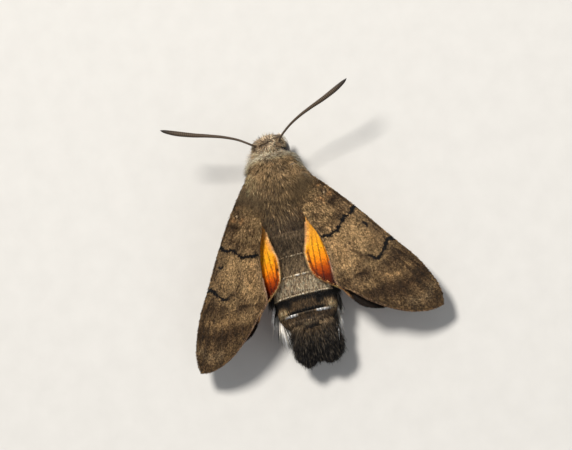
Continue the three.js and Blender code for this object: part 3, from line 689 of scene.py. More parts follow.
def make_thorax_coat():
    grid = profile_grid(THORAX, 70, 120, -0.5)

    def seen(g):
        return np.where(g[..., 1] < -5.6, 0.45, 1) * above(-0.8, 0.45)(g)

    def lock(g):
        return (g[..., 0] < -2.0) & (np.abs(g[..., 1] + 3.3) < 1.0) & (g[..., 2] > 0.4)

    def long(p):
        return 0.66 + 0.25 * smooth(3.0, 0.0, p[:, 1]) + 0.35 * smooth(-2.5, -4.5, p[:, 1])

    def rise(p):
        x, y, z = p.T
        side = smooth(2.2, 3.6, np.abs(x)) * smooth(0.5, 2.5, y) * smooth(-0.4, 0.6, z)
        return 0.36 - 0.12 * smooth(-2.5, -4.5, y) + 0.3 * side

    def flared(p):
        return 0.26 + 0.45 * smooth(1.6, 3.4, np.abs(p[:, 0])) * smooth(0.0, 1.0, p[:, 2])

    # The short under coat is a darker copy of the thorax's colours and the long hair a paler one: painted shade under
    # the coat and painted light on top of it.
    add_coat("thorax_coat", [
        fur(grid, 18000, 100, lambda p: thorax_tint(p) * 0.75, 0.45, 0.085, 0.3, seen),
        fur(grid, 17000, 101, thorax_tint, long, 0.075, rise, seen, swirl=0.24)])
    add_coat("thorax_long_hair", [
        fur(grid, 5600, 103, lambda p: thorax_tint(p) * 1.15, lambda p: long(p) * 1.2, 0.068,
            lambda p: rise(p) + 0.05, seen, rings=2, droop=0.25, swirl=0.3),
        fur(grid, 450, 102, thorax_tint, 1.35, 0.08, 0.3, lock, rings=2, droop=0.15, swirl=0.2,
            lie=lambda p: swept_back(p) + (-0.25, 0, 0))])
    pads = []
    for word, side in SIDES.items():
        pads.append(fur(
            ball_grid(TEGULA, -0.4, sides=60, side=side), 3600, 110 + side, thorax_tint, 0.9, 0.075, 0.26,
            lambda g: (g[..., 2] > 1.9) & (np.abs(g[..., 1] - TEGULA["at"][1]) < 1.7), swirl=0.22))
        pads.append(wing_base_fur(word, 8000, 118 + side))
    pads.append(fur(profile_grid(THORAX, np.linspace(5.0, 3.4, 16), 120, -0.35), 6000, 115, collar_tint, 0.66, 0.072,
                    flared, above(-1.5, 0.4), lie=lambda p: swept_back(p) + p * (0.1, 0, 0), swirl=0.3))
    add_coat("shoulder_coat", pads)


def wing_base_fur(word, count, seed):
    """The thorax's fur runs out over the root of the forewing."""
    rng = np.random.default_rng(seed)
    s, c = wing_plan(FOREWING, 160, 60)
    grid = wing_point(FOREWING, word, s, c, MEMBRANE / 2)
    reach = smooth(6.2, 1.5, s + 0.35 * np.abs(c - 0.8)) * (s > -0.3)
    at, place = scatter(frame_of(grid, False)[2] * reach, count, rng, False)
    root, (s, c) = at(grid), at(cols(s, c)).T
    angle = 0.35 + rng.normal(0, 0.25, count) + 0.12 * c
    lie = over_wing(FOREWING, word, np.cos(angle), np.sin(angle))
    normal = np.tile(wing_axes(FOREWING, word)[3], (count, 1))
    share = smooth(0.5, 4.0, s)
    colour = mix(thorax_tint(root), forewing_tint(s, c, word), share) * grizzle(rng, root, 0.36, 0.16, 0.12)
    length = (0.9 - 0.5 * share) * np.exp(rng.normal(0, 0.16, count))
    return tufts(root, normal, lie, place[:, ::-1], colour, length, 0.065, 0.28 - 0.14 * share, shade=(0.4, 1.2))


def eye_free(g):
    """No tufts are rooted where the eyes are bare."""
    middle = HEAD["at"][0]
    clear = np.ones(g.shape[:2])
    for side in BOTH:
        at = np.array(EYE["at"]) * (side, 1, 1) + (middle, 0, 0)
        inside = np.linalg.norm((g - at) / (np.array(EYE["radii"]) + 0.02), axis=-1) < 1.0
        clear = np.where(inside & (side * (g[..., 0] - middle) > 1.25) & (g[..., 2] < 0.35), 0, clear)
    return clear


def make_head_coat():
    middle = HEAD["at"][0]

    def fanned(p):
        out = (p[:, 0] - middle) * (0.5 + 0.5 * flare(p)) * (1 - flattened(p))
        return cols(out, np.where(p[:, 1] > 6.2, 0.3, -1.0), np.full(len(p), 0.5))

    def long(p):
        full = 0.45 + 0.45 * smooth(0.0, 1.3, p[:, 2]) * smooth(7.6, 6.4, p[:, 1])
        return (full + 0.45 * flare(p) * smooth(6.4, 5.8, p[:, 1])) * (1 - 0.65 * flattened(p))

    def rise(p):
        return (0.45 + 0.2 * smooth(0.0, 1.5, p[:, 2])) * (1 - 0.85 * flattened(p))

    groups = [
        fur(ball_grid(HEAD, -0.33, 60, 90), 8600, 121, head_tint, long, 0.07, rise,
            lambda g: np.where(g[..., 1] < 4.6, 0.5, 1.0) * eye_free(g), rings=2, droop=0.2, lie=fanned, swirl=0.5),
        fur(ball_grid(NECK, -0.1, sides=80), 8500, 125, neck_tint, lambda p: 0.75 + 0.45 * flare(p), 0.074,
            lambda p: 0.5 + 0.25 * flare(p) - 0.4 * flattened(p),
            lambda g: (g[..., 1] > 3.4) * (g[..., 1] < 6.1) * eye_free(g),
            lie=lambda p: swept_back(p) + flare(p)[:, None] * p * (0.45, 0, 0.1), swirl=0.3)]
    for side, start, back, length in ((1, 5.95, -0.6, 0.62), (-1, 5.2, -0.4, 1.0)):

        def brow(g):
            x, y, z = np.moveaxis(g, -1, 0)
            return (side * (x - middle) > 0.7) & (z > 0.0) & (y > start) & (y < 7.3)

        groups += [
            fur(ball_grid(HEAD, -0.2, 60, 90), 1700, 127 + side, head_tint, length, 0.066, 0.42, brow, rings=2,
                droop=0.3, lie=always(side, back, -0.2), swirl=0.35),
            fur(ball_grid(SCAPE, rows=16, sides=24, side=side), 260, 135 + side, head_tint, 0.2, 0.06, 0.3,
                lie=always(0.2, 0.2, 1.0), swirl=0.2),
            coat_on(tube_grid(*PALP, 40, 40, side, 1.2, -0.12), 2600, 130 + side, palp_tint, 0.3, 0.06, 0.3, swirl=0.2)]
    add_coat("head_coat", groups)


# Each fringe on the abdomen: where it starts and ends, count, seed, tint, length and lift of its hairs
FRINGES = [
    (-12.16, -12.26, 1300, 150, edge_tint, 0.13, 0.4), (-9.86, -9.96, 1300, 151, edge_tint, 0.18, 0.4),
    (-7.56, -7.66, 1300, 152, edge_tint, 0.13, 0.4), (-13.9, -14.08, 1300, 155, slit_tint, 0.17, 0.2),
    (-14.28, -14.36, 1500, 156, dash_tint, 0.24, 0.4), (-15.0, -16.3, 2600, 157, arch_tint, 0.42, 0.36),
]


def make_abdomen_coat():
    grid = profile_grid(ABDOMEN, 110, 130, -0.3)

    def seen(g):
        gap = (np.abs(g[..., 0] - 0.05) < 2.1) & (np.abs(g[..., 1] + 13.98) < 0.36) & (g[..., 2] > 0)
        return np.where(g[..., 1] > -4.6, 0.3, 1.0) * np.where(g[..., 2] < -2.0, 0.5, 1.0) * np.where(gap, 0.02, 1)

    def long(p):
        return 0.42 + 0.1 * noise(p, 1.0, 31) + 0.25 * smooth(-13.2, -14.0, p[:, 1]) * smooth(1.5, 3.0, np.abs(p[:, 0]))

    # The long hair is a paler copy of the abdomen's colours and the short under coat a darker one: painted light on top
    # of the coat and painted shade under it.
    add_coat("abdomen_coat", [
        plush(grid, 22000, 141, lambda p: abdomen_tint(p) * 1.12, long, 0.075, 0.19, seen, swirl=0.17),
        plush(grid, 14000, 142, lambda p: abdomen_tint(p) * 0.8, 0.32, 0.09, 0.15, seen, swirl=0.16)], "coat_abdomen")
    add_coat("segment_fringes", [
        plush(profile_grid(ABDOMEN, np.linspace(front, rear, 5), 130, -0.22), count, seed, tint, length, 0.085, lift,
              above(-1.2, 0.3), swirl=0.08)
        for front, rear, count, seed, tint, length, lift in FRINGES], "coat_abdomen")


# Each row of side tufts: its place, count, length, highest angle on the flank and share of white below
TUFT_ROWS = [(-10.5, 2000, 1.7, 24, 0.1), (-12.4, 2600, 1.955, 6, 1), (-14.1, 3600, 2.89, -2, 1)]


def make_side_tufts():
    groups = []
    for r, (front, count, length, highest, white) in enumerate(TUFT_ROWS):

        def flank(g):
            x, _, z = np.moveaxis(g, -1, 0)
            tilt = np.degrees(np.arctan2(z + 1.1, np.abs(x) * 0.8))
            return (tilt < highest - 8 * (x > 0)) & (tilt > -50)

        def tuft_tint(p):
            x, _, z = p.T
            # White below; it starts higher on the left flank than on the right, and that extra white on the left is
            # painted light from the lamp's side.
            low = smooth(-0.5, -0.9, z + (noise(p, 0.4, 43) - 0.5) * 0.6 + np.where(x > 0, 0.9, -0.3))
            low = low * smooth(0.3, 0.45, noise(p, 0.35, 47))
            tan = smooth(0.5, 0.7, noise(p, 0.4, 41 + r)) * smooth(-1.2, -0.4, z) * (r > 0)
            return painted(BLACK * 0.7, (rgb(140, 112, 78), 0.7 * tan), (rgb(255, 246, 234), low * white))

        groups.append(coat_on(
            profile_grid(ABDOMEN, np.linspace(front + 0.4, front - 0.6, 8), 130, -0.25), count, 170 + r, tuft_tint,
            length, 0.13, lambda p: 0.2 + 0.16 * (p[:, 0] < 0), flank, rings=2, droop=0.06, swirl=0.2, spread=0.3,
            dark=0.06, pale=0.1, shade=(0.8, 1.5)))
    add_coat("side_tufts", groups, "coat_abdomen")


def make_tail_coat():
    """Long scales fan out from the end of the abdomen; their tips cover a rounded brush."""
    rng = np.random.default_rng(180)
    count = 13500
    centre = np.array(TAIL["at"])
    swing = rng.uniform(-1.8, 1.8, count)
    rise = np.arcsin(rng.uniform(-0.85, 0.99, count))
    lobes = 1.08 - 0.2 * near(swing, -0.08, 0.22) + 0.06 * near(swing, -0.55, 0.2)
    flat = np.cos(rise)
    crest = np.clip(np.sin(rise), 0, 1)
    wide = np.sign(swing) * np.abs(np.sin(swing)) ** 0.8
    deep = np.sign(np.cos(swing)) * np.abs(np.cos(swing)) ** 0.5
    tip = centre + cols(0.15 + 2.9 * wide * flat**0.5, -0.5 + 1.1 * crest**2 - 2.7 * deep * flat**0.8 * lobes,
                        -0.15 + (1.3 + 0.5 * crest) * np.sin(rise))
    tip += rng.normal(0, 0.11, (count, 3)) * rng.choice([0.6, 1.0, 2.0], (count, 1))
    x, y, z = tip.T
    lie = unit(tip - centre - cols((x - centre[0]) * 0.7, np.full(count, 2.6), (z - centre[2]) * 0.45 + 0.1))
    length = rng.uniform(0.5, 1.3, count) * (0.6 + 0.4 * flat)
    normal = unit(np.cross(np.cross(lie, unit(tip - centre + (0, 2, 0.6))), lie))
    colour = tail_tint(tip) * grizzle(rng, tip, 0.75, 0.25, 0.18)
    top = smooth(-20.0, -17.0, y) * smooth(2.6, 1.2, np.abs(x))
    colour = painted(
        colour, (rgb(150, 128, 98), 0.6 * (rng.random(count) < 0.25) * top),
        (rgb(120, 108, 92), 0.7 * (rng.random(count) < 0.18)),
        (rgb(178, 150, 114), 0.75 * (rng.random(count) < 0.5) * smooth(-17.1, -16.5, y - 0.1 * x**2)))
    fan = tufts(tip - lie * length[:, None], normal, lie, cols(0.5 + swing * 0.3, 0.5 + rise * 0.3), colour, length,
                0.075 * np.exp(rng.normal(0, 0.2, count)), 0.1, 0.1, rings=2, shade=(0.6, 1.1))
    base = coat_on(ball_grid(TAIL, -0.35, sides=60), 2600, 190, tail_tint, 0.8, 0.09, 0.28,
                   lambda g: np.where(g[..., 1] > -17.6, 1, 0.2), rings=2, droop=0.1, lie=swept_back, spread=0.34,
                   dark=0.15, pale=0.12)
    add_coat("tail_coat", [fan, base], "tail_scales", TAIL_HAIR)


def make_leg_coat():
    groups = []
    for k, path in enumerate(LEGS.values()):
        for side in BOTH:
            grid = tube_grid(path, LEG_RADII, 80, 24, side, grow=-0.05)
            groups.append(coat_on(grid, 2600, 200 + 2 * k + side, leg_tint, 0.24, 0.07, 0.15, above(FLOOR + 0.12, 0),
                                  swirl=0.12, spread=0.25))
            grounded(groups[-1][0], FLOOR + 0.01)
    add_coat("leg_coat", groups, "leg_scales")


# Wings

def wing_axes(wing, word):
    """A wing's root and its ways out, back and up."""
    side = SIDES[word]
    sweep = math.radians(wing["sweep"][word])
    root = np.array(wing["root"]) * (side, 1, 1)
    out = np.array([side * math.sin(sweep) * math.cos(ROOF), -math.cos(sweep), -math.sin(sweep) * math.sin(ROOF)])
    back = np.array([-side * math.cos(sweep) * math.cos(ROOF), -math.sin(sweep), math.cos(sweep) * math.sin(ROOF)])
    return root, out, back, np.array([side * math.sin(ROOF), 0, math.cos(ROOF)])


def over_wing(wing, word, s, c):
    """Directions in a wing's plane."""
    _, out, back, _ = wing_axes(wing, word)
    return unit(out * s[:, None] + back * c[:, None])


def wing_point(wing, word, s, c, height):
    root, out, back, up = wing_axes(wing, word)
    s, c, height = (np.asarray(v, float)[..., None] for v in (s, c, height))
    p = root + out * s + back * c
    rise, start, span = ARCH
    p[..., 2] += rise * np.sin(np.pi * np.clip((np.abs(p[..., 0]) - start) / span, 0, 1.15))
    return p + up * height


def wing_plan(wing, long, wide):
    """Wing coordinates of a grid of places, with rows from root to tip and columns from costa to rear edge."""
    s = wing["tip"] * (1 - (1 - np.linspace(0, 1, long)) ** 1.35)
    front, back = (np.interp(s, np.maximum.accumulate(edge[:, 0]), edge[:, 1])[:, None]
                   for edge in (spline(wing[name], np.linspace(0, 1, 400)) for name in ("costa", "rear")))
    return np.repeat(s[:, None], wide, 1), front + (back - front) * np.linspace(0, 1, wide)


SMOKE, STRAW, RUST = rgb(42, 29, 16), rgb(162, 129, 87), rgb(156, 108, 66)
MARKS = [  # (line, reach, colour, strength) of each soft-edged mark of the forewing
    ([(18.5, -1.4), (18.8, 0.0), (18.4, 1.3), (18.1, 2.5), (16.9, 3.8), (16.2, 5.2)], 0.8, SMOKE, 0.8),
    ([(13.9, 3.8), (13.5, 5.0), (13.0, 6.4)], 0.45, SMOKE, 0.65),
    ([(14.0, 6.2), (16.2, 5.6)], 0.3, SMOKE, 0.4),
    ([(15.6, -1.2), (15.4, 0.3), (14.8, 1.5)], 0.4, SMOKE, 0.45),
    ([(13.6, 1.9), (12.6, 2.5), (11.4, 2.8)], 0.28, SMOKE, 0.6),
    ([(17.1, -0.4), (17.1, 0.8), (16.5, 1.8), (15.6, 3.0)], 0.45, STRAW, 0.36),
    ([(8.7, 3.7), (10.3, 4.4), (11.7, 4.6)], 0.9, STRAW, 0.6),
    ([(12.2, 0.3), (12.6, 1.3)], 0.6, SMOKE, 0.35),
    ([(12.3, 5.6), (13.2, 4.6), (14.2, 3.6)], 0.6, SMOKE, 0.35),
    ([(9.2, 1.0), (12.6, 0.4)], 0.7, STRAW, 0.25),
    ([(6.9, 0.2), (7.0, 2.0), (6.5, 3.6)], 0.6, SMOKE, 0.5),
    ([(5.4, -0.9), (5.3, 0.5)], 0.4, SMOKE, 0.85),
    ([(3.4, -0.6), (3.5, 0.1)], 0.3, SMOKE, 0.75),
    ([(4.9, 2.8), (5.5, 2.8)], 0.35, SMOKE, 0.55),
    ([(4.1, 0.9), (4.5, 0.8)], 0.3, RUST, 0.45),
    ([(2.8, -0.2), (2.9, 0.0)], 0.25, RUST, 0.5),
    ([(4.5, -0.4), (4.5, -0.1)], 0.25, RUST, 0.45),
    ([(20.5, -0.4), (21.0, 0.9), (20.3, 2.5)], 0.5, rgb(124, 104, 78), 0.5),
    ([(21.9, -0.2), (22.0, 1.2)], 0.35, SMOKE, 0.5),
    ([(9.6, -1.15), (12.2, -1.25)], 0.1, SMOKE, 0.8),
    ([(10.9, -0.8), (12.8, -0.95)], 0.08, SMOKE, 0.85),
    ([(14.2, -0.6), (16.4, -1.0), (18.6, -1.1)], 0.09, SMOKE, 0.85),
    ([(14.2, -0.35), (15.5, -0.25), (17.2, -0.1)], 0.09, SMOKE, 0.7),
    ([(1.5, -0.3), (3.7, -0.65), (5.7, -0.85), (7.4, -1.0)], 0.12, SMOKE, 0.75),
    ([(3.95, 0.03), (3.95, 0.07)], 0.1, CREAM, 1.0),
]


def forewing_tint(s, c, word, under=False):
    p = cols(s, c)
    if under:
        rust = mix(rgb(128, 84, 46), rgb(96, 70, 46), smooth(12, 20, s))
        return rust * (0.85 + 0.3 * noise(p, 0.5, 51))[:, None]
    wisp = p * (0.6, 1)
    torn = np.exp((noise(p, 0.9, 54) - 0.5) * 3.0 + (noise(wisp, 0.22, 58) - 0.5) * 1.2)
    tint = painted(
        rgb(108, 86, 59), (rgb(126, 102, 70), smooth(0.25, 0.75, noise(p, 1.3, 52))),
        (rgb(94, 74, 50), 0.7 * smooth(0.8, -0.6, c) * smooth(14.0, 12.0, s)),
        (rgb(72, 55, 35), 0.85 * smooth(13.6, 16.8, s + 0.25 * (3 - c))),
        *((colour, strength * np.exp(-(off_line(s, c, line) / reach) ** 2 * torn))
          for line, reach, colour, strength in MARKS),
        (SMOKE, 0.35 * near(off_line(s, c, *FOREWING["veins"][:-1]), 0, 0.1) * smooth(12.5, 15.0, s)))
    ray = noise(cols(np.arctan2(c - 0.4, s - 7.0), s * 0.03), 0.045, 62) - 0.5
    grain = (noise(p * (0.5, 1.3), 0.12, 53) - 0.5) * (0.7 + 0.6 * smooth(9.0, 7.5, s))
    grain = grain + (noise(wisp, 0.6, 59) - 0.5) * 0.5 + ray * 0.9 * smooth(13.5, 16.5, s)
    # Painted light and shade, side by side: the left forewing is painted a little darker overall and brighter towards
    # the middle of its rear edge, the right one darker over its outer part.
    if word == "left":
        light = 0.88 + 0.2 * smooth(9.5, 12.5, s) * smooth(2.5, 4.5, c)
    else:
        light = 1 - 0.14 * smooth(11.5, 13.5, s)
    shake = (noise(p, 0.14, 56) - 0.5) * 0.26 + (noise(p, 0.45, 60) - 0.5) * 0.2
    inner = off_line(s, c, INNER_LINE[word]) - 0.07 * smooth(0.2, -0.8, c) + shake
    outer = off_line(s, c, OUTER_LINE[word]) - 0.09 * smooth(0.4, -0.6, c) + shake
    end = OUTER_LINE[word][-1]
    fade = smooth(0.1, 1.4, np.hypot(s - end[0], c - end[1]))
    return painted(
        tint * (np.exp(grain) * light)[:, None], (rgb(8, 7, 6), smooth(0.2, 0.14, inner)),
        (rgb(8, 7, 6), smooth(0.19, 0.12, outer) * (0.1 + 0.9 * fade)),
        (rgb(18, 13, 10), 0.8 * near(np.hypot(s - 3.95, (c - 0.05) * 0.8), 0.22, 0.07)),
        (SMOKE, 0.5 * near(off_line(s, c, FOREWING["rear"]), 0.16, 0.08) * smooth(11.0, 13.0, s)),
        (rgb(14, 10, 8), smooth(0.18, 0.11, off_line(s, c, CELL_DASH[word]))))


# The orange darkens to the wing's own brown margin; the near-black last tones are painted shade where the hindwing lies
# under the forewing.
HIND_STEPS = [0, 2.6, 4.4, 5.7, 6.8, 7.8, 8.7, 9.7]  # distance from the root over which the hindwing darkens
HIND_TONES = np.array([(214, 148, 54), (224, 156, 46), (252, 172, 28), (242, 146, 16), (186, 78, 4), (102, 28, 0),
                       (54, 20, 6), (24, 16, 10)], float)


def hindwing_tint(s, c, word, under=False):
    p = cols(s, c)
    streak = noise(p @ np.array([[0.7, 0.7], [-0.6, 0.2]]), 0.35, 61)
    if under:
        return mix(rgb(206, 140, 60), rgb(140, 84, 44), smooth(4.5, 10.0, s)) * (0.85 + 0.3 * streak)[:, None]
    gone = s * 0.72 + c * 0.55
    margin = off_line(s, c, HINDWING["rear"])
    tint = painted(
        rgb(*(np.interp(gone, HIND_STEPS, tone) for tone in HIND_TONES.T)).T,
        (rgb(214, 158, 96), 0.6 * smooth(0.45, 0.3, margin) * smooth(4.4, 3.6, gone)),
        (rgb(78, 30, 10), 0.85 * near(margin, 0.22, 0.12) * smooth(4.2, 5.0, gone) * smooth(8.5, 7.5, gone)))
    lines = off_line(s, c, *HINDWING["veins"])
    # Veins darken out from the root; the dark spot at the tooth of the rear edge is painted shade of a fold in the
    # edge.
    tint = painted(tint, (tint * 0.25, 0.85 * smooth(0.1, 0.05, lines) * smooth(2.6, 4.6, gone)),
                   (rgb(40, 20, 10), near(np.hypot(s - 4.45, c - 4.8), 0, 0.2)))
    # The left hindwing is painted 15% brighter: painted light on the side the lamp comes from.
    return tint * (0.9 + 0.2 * streak)[:, None] * (1.15 if word == "left" else 1.0)


# Scales are counted on the upper and the lower face; a fringe has three tones, the last of them from its change on
FOREWING |= {
    "kind": "forewing", "tint": forewing_tint, "look": FORE_MEMBRANE, "grid": (190, 72), "seed": 301,
    "scales": (25000, 3500), "scale_width": 0.09, "spread": 0.5,
    "fringe_from": 0.42, "fringe_length": 0.26, "fringe_change": 0.8,
    "fringe": (rgb(200, 162, 132), rgb(154, 120, 94), rgb(176, 142, 114)),
}
HINDWING |= {
    "kind": "hindwing", "tint": hindwing_tint, "look": HIND_MEMBRANE, "grid": (120, 60), "seed": 311,
    "scales": (10000, 2000), "scale_width": 0.1, "spread": 0.1,
    "fringe_from": 0.1, "fringe_length": 0.32, "fringe_change": 0.66,
    # The hindwing fringe's near-black last tone is painted shade, where the fringe runs under the forewing.
    "fringe": (rgb(242, 184, 122), rgb(252, 182, 118), rgb(34, 24, 18)),
}
SCALE_LENGTH = 0.2


def add_to_wing(wing, word, piece, shape, look, **more):
    build(f"{wing['kind']}_{piece}_{word}", *shape, look=look, slot=f"{wing['kind']}_scales", **more)


def make_sheet(wing, word):
    """A wing's membrane, with its veins as ridges and thin at its edges."""
    long, wide = wing["grid"]
    s, c = wing_plan(wing, long, wide)
    cross = np.arange(wide)
    edge = np.minimum(1, np.minimum(cross, cross[::-1]) / 2) * np.minimum(1, np.arange(long)[::-1] / 2)[:, None]
    swell = MEMBRANE * (0.3 + 0.7 * edge) / 2 + 0.05 * near(off_line(s, c, *wing["veins"]), 0, 0.11) * edge
    points = np.concatenate([wing_point(wing, word, s, c, way * swell).reshape(-1, 3) for way in BOTH])
    a = (np.arange(long - 1)[:, None] * wide + cross[:-1]).ravel()
    sheet = quads(a, a + 1, a + wide + 1, a + wide)
    lower = long * wide
    rim = np.concatenate([cross, np.arange(1, long) * wide + wide - 1,
                          (long - 1) * wide + cross[:-1][::-1], np.arange(1, long - 1)[::-1] * wide])
    after = np.roll(rim, -1)
    faces = np.concatenate([sheet, sheet[:, ::-1] + lower, quads(rim, rim + lower, after + lower, after)])
    tint = np.concatenate([wing["tint"](s.ravel(), c.ravel(), word, under) for under in (False, True)])
    add_to_wing(wing, word, "sheet", (points, outward(points, faces), tint), wing["look"],
                nodes=[f"{wing['kind']}_{word}"])


def make_scales(wing, word):
    """Slim kite-shaped scales on both faces; those near the root are longer and stand up more."""
    rng = np.random.default_rng(wing["seed"] + SIDES[word])
    plan = cols(*wing_plan(wing, 160, 60))
    spread = wing["spread"]
    groups = []
    for under, count in enumerate(wing["scales"]):
        way = -1 if under else 1
        grid = wing_point(wing, word, *np.moveaxis(plan, -1, 0), way * MEMBRANE / 2)
        at, place = scatter(frame_of(grid, False)[2], count, rng, False)
        root, spot = at(grid), at(plan)
        fan = np.arctan2(spot[:, 1] - 0.2, spot[:, 0] + 2.5) * 0.8 + rng.normal(0, 0.2, count)
        lie = over_wing(wing, word, np.cos(fan), np.sin(fan))
        normal = np.tile(way * wing_axes(wing, word)[3], (count, 1))
        middle = spot + cols(np.cos(fan), np.sin(fan)) * SCALE_LENGTH / 2
        colour = wing["tint"](*middle.T, word, under)
        colour = colour * grizzle(rng, root, spread, spread * 0.6, spread * 0.25, (1, 1, 1), 0.15)
        rough = smooth(11, 3, spot[:, 0])
        along = lie * SCALE_LENGTH * (np.exp(rng.normal(0, 0.18, count)) * (1 + 0.35 * rough))[:, None]
        across = np.cross(lie, normal) * wing["scale_width"] / 2 * (1 - 0.25 * rough)[:, None]
        rise = (rng.uniform(0.02, 0.08, count) + rough * rng.uniform(0.0, 0.12, count))[:, None]
        middle = root + along * 0.6 + normal * rise * 0.8
        points = np.stack([root - normal * 0.02, middle - across, middle + across, root + along + normal * rise,
                           middle - normal * 0.03], 1)
        # Each scale is painted darker at its root and on its underside and brighter at its tip: painted shade under the
        # scale before it and a painted highlight at its tip.
        groups.append(copies(
            points, [(0, 2, 1), (1, 2, 3), (0, 1, 4), (0, 4, 2), (1, 3, 4), (2, 4, 3)],
            colour, [0.6, 1.0, 1.0, 1.12, 0.7], place[:, ::-1] * (0.48, 1) + (0.5 * under, 0),
            [(0, -0.5), (-0.5, 0.1), (0.5, 0.1), (0, 0.5), (0, 0)]))
    add_to_wing(wing, word, "scales", joined(groups), WING_SCALES, flat=True)


def make_fringe(wing, word):
    """Hair scales along the outer and rear edge, from a share of the way along it."""
    count, start, change = 1900, wing["fringe_from"], wing["fringe_change"]
    seed = wing["seed"] + 20 + SIDES[word]
    rng = np.random.default_rng(seed)
    edge = spline(wing["rear"], np.linspace(0, 1, 500))
    run = np.concatenate([[0], np.cumsum(np.linalg.norm(np.diff(edge, axis=0), axis=1))])
    at = start + (1 - start) * (np.arange(count) + rng.random(count)) / count

    def on_edge(distance):
        return cols(*(np.interp(distance, run, line) for line in edge.T))

    spot = on_edge(at * run[-1])
    ahead = unit(on_edge(at * run[-1] + 0.2) - spot + (1e-6, 0))
    out = cols(-ahead[:, 1], ahead[:, 0])
    inside = np.array([8.0, 1.0])
    out = out * np.where((out * (inside - spot)).sum(1) > 0, -1, 1)[:, None]
    lean = out + ahead * rng.normal(0.35, 0.2, count)[:, None]
    root = wing_point(wing, word, *(spot - out * 0.12).T, rng.uniform(-0.03, 0.05, count))
    first, second, last = wing["fringe"]
    colour = painted(first, (second, smooth(0.3, 0.7, noise(spot, 0.5, seed) + rng.normal(0, 0.15, count))),
                     (last, smooth(change, change + 0.06, at)))
    size = wing["fringe_length"] * np.exp(rng.normal(0, 0.15, count))
    place = cols(at, rng.random(count)) * 0.98 + 0.01
    normal = np.tile(wing_axes(wing, word)[3], (count, 1))
    add_to_wing(wing, word, "fringe", tufts(
        root, normal, over_wing(wing, word, *lean.T), place, colour * grizzle(rng, root, 0.2, 0.06, 0.06), size,
        0.09, 0.0, sunk=0.0), WING_SCALES)


# Feelers, eyes, tongue, claws

def make_antennae():
    rows, sides, beads = 560, 16, 62
    t = np.linspace(0, 1, rows)
    wave = np.abs(np.sin(np.pi * beads * t)) ** 0.6
    # Each bead is paler on its top side, a painted highlight that fades towards the club.
    tone = (smooth(0.35, 0.85, wave)[:, None] * smooth(-0.1, 0.8, np.sin(around(sides)))).ravel()
    tone = np.append(tone * (1 - 0.75 * np.repeat(smooth(0.72, 0.95, t), sides)), [0, 0])
    tint = mix(rgb(18, 14, 12), rgb(122, 100, 76), tone * 0.6)
    for word, side in SIDES.items():
        shaft = closed(ringed(tube_grid(*ANTENNA, rows, sides, side), 0.88 + 0.14 * wave))
        build(f"antenna_shaft_{word}", *shaft, tint, look=FEELER, slot="horny_brown", nodes=[f"antenna_{word}"])
        base = closed(ball_grid(SCAPE, rows=16, sides=24, side=side))
        build(f"antenna_base_{word}", *base, np.tile(rgb(120, 98, 72), (len(base[0]), 1)), look=SKIN,
              slot="coat_olive")


def make_eyes():
    for word, side in SIDES.items():
        ball = closed(ball_grid(EYE, -0.03, 48, 72, side, HEAD["at"][0]))
        build(f"eyeball_{word}", *ball, look=EYE_GLOSS, slot="eye_surface", nodes=[f"eye_{word}"])


def make_tongue():
    rows, sides, rings = 420, 14, 130
    turns, (x, y, z) = TONGUE["turns"], TONGUE["centre"]
    gone = np.linspace(0, 1, round(turns * 12) + 1)
    angle = math.pi * 0.62 - 2 * math.pi * turns * gone
    radius = TONGUE["outer"] + (TONGUE["inner"] - TONGUE["outer"]) * gone
    coil = cols(np.full(len(gone), x), y + np.cos(angle) * radius, z + np.sin(angle) * radius)
    wave = np.abs(np.sin(np.linspace(0, np.pi * rings, rows)))
    grid = tube_grid([TONGUE["mouth"], *coil], [0.25, 0.24, 0.22, 0.18, 0.1], rows, sides)
    tint = mix(rgb(70, 44, 22), rgb(134, 92, 50), np.append(np.repeat(wave, sides), [0, 0]))
    build("tongue_coil", *closed(ringed(grid, 0.93 + 0.07 * wave)), tint, look=TONGUE_SKIN, slot="horny_brown",
          nodes=["proboscis"])


def make_claws():
    parts = []
    for place, path in LEGS.items():
        for side in BOTH:
            points = np.array(path) * (side, 1, 1)
            end = points[-1]
            along = unit(end - points[-2])
            across = np.cross(along, (0, 0, 1))
            for way in (-1, 1):
                tip = end + along * 0.2 + across * way * 0.14 + (0, 0, -0.1)
                bend = end + along * 0.14 + across * way * 0.13 + (0, 0, 0.06)
                parts.append(tube_grid([end, bend, tip], [0.05, 0.04, 0.006], 8, 6))
            for share in SPURS[place]:
                spot, ahead = spline(points, np.array([share, share + 0.02]))
                lead = unit(ahead - spot)
                out = unit(np.cross(lead, (0, 0, 1)))
                for way in (-1, 1):
                    tip = spot + lead * 0.7 + out * way * 0.55
                    parts.append(tube_grid([spot, (spot + tip) / 2 + (0, 0, 0.03), tip], [0.12, 0.09, 0.015], 8, 7))
    points, faces = joined(map(closed, parts))
    build("claws_and_spurs", grounded(points, FLOOR + 0.005), faces, look=HORN, slot="leg_scales")


# Camera, light and floor

def placed(name, data, right, up, back, at):
    obj = linked(name, data)
    matrix = np.eye(4)
    matrix[:3] = cols(right, up, back, at * MM)
    obj.matrix_world = Matrix(matrix)
    return obj


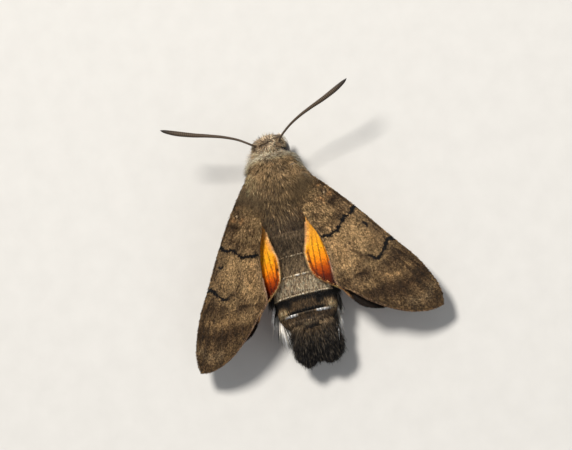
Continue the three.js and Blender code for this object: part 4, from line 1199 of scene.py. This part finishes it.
def make_light(name, at, target, power, size, colour):
    data = bpy.data.lights.new(name, "AREA")
    data.shape = "DISK"
    data.size, data.energy, data.color = size, power, colour
    back = unit(at - target)
    right = unit(np.cross((0, 0, 1), back))
    placed(name, data, right, np.cross(back, right), back, at)


def make_studio():
    """The camera sees the moth as the photo does; its distance and the size of a pixel are in millimetres."""
    tilt, lean, turn = math.radians(12), math.radians(13), math.radians(12.4)
    far, pixel, photo_width, sensor = 400, 0.1176, 572, 36
    right = np.array([math.cos(lean), 0, -math.sin(lean)])
    ahead = np.array([math.sin(tilt) * math.sin(lean), math.cos(tilt), math.sin(tilt) * math.cos(lean)])
    image_x = math.cos(turn) * right - math.sin(turn) * ahead
    image_y = math.sin(turn) * right + math.cos(turn) * ahead
    back = np.cross(image_x, image_y)
    target = SHIFT + pixel * (4 * image_x - 30 * image_y)
    data = bpy.data.cameras.new("camera")
    data.sensor_width = sensor
    data.lens = sensor * far / (photo_width * pixel)
    data.clip_start, data.clip_end = 0.02, 5
    bpy.context.scene.camera = placed("camera", data, image_x, image_y, back, target + back * far)
    make_light("key", target + back * 410 - image_x * 205 + image_y * 230, target, 3.3, 0.12, (1.0, 0.96, 0.9))
    make_light("fill", target + back * 400 + image_x * 260 - image_y * 80, target, 0.45, 0.36, (0.94, 0.97, 1.0))
    mesh = bpy.data.meshes.new("studio_floor")
    half = 0.6
    mesh.from_pydata([(-half, -half, 0), (half, -half, 0), (half, half, 0), (-half, half, 0)], [], [(0, 1, 2, 3)])
    mesh.materials.append(material("studio_paper", 0.9, (0.57, 0.56, 0.54), grain=0.02, grain_scale=400))
    floor = linked("studio_floor", mesh)
    world = bpy.data.worlds.new("studio")
    world.use_nodes = True
    fill(world.node_tree.nodes["Background"], Color=(0.95, 0.97, 1.0, 1), Strength=0.3)
    bpy.context.scene.world = world
    bpy.context.scene.view_settings.view_transform = "Standard"


make_skin()
make_thorax_coat()
make_head_coat()
make_abdomen_coat()
make_side_tufts()
make_tail_coat()
make_leg_coat()
make_antennae()
make_eyes()
make_tongue()
make_claws()
for word in SIDES:
    for make in (make_sheet, make_scales, make_fringe):
        for wing in (FOREWING, HINDWING):
            make(wing, word)
make_studio()
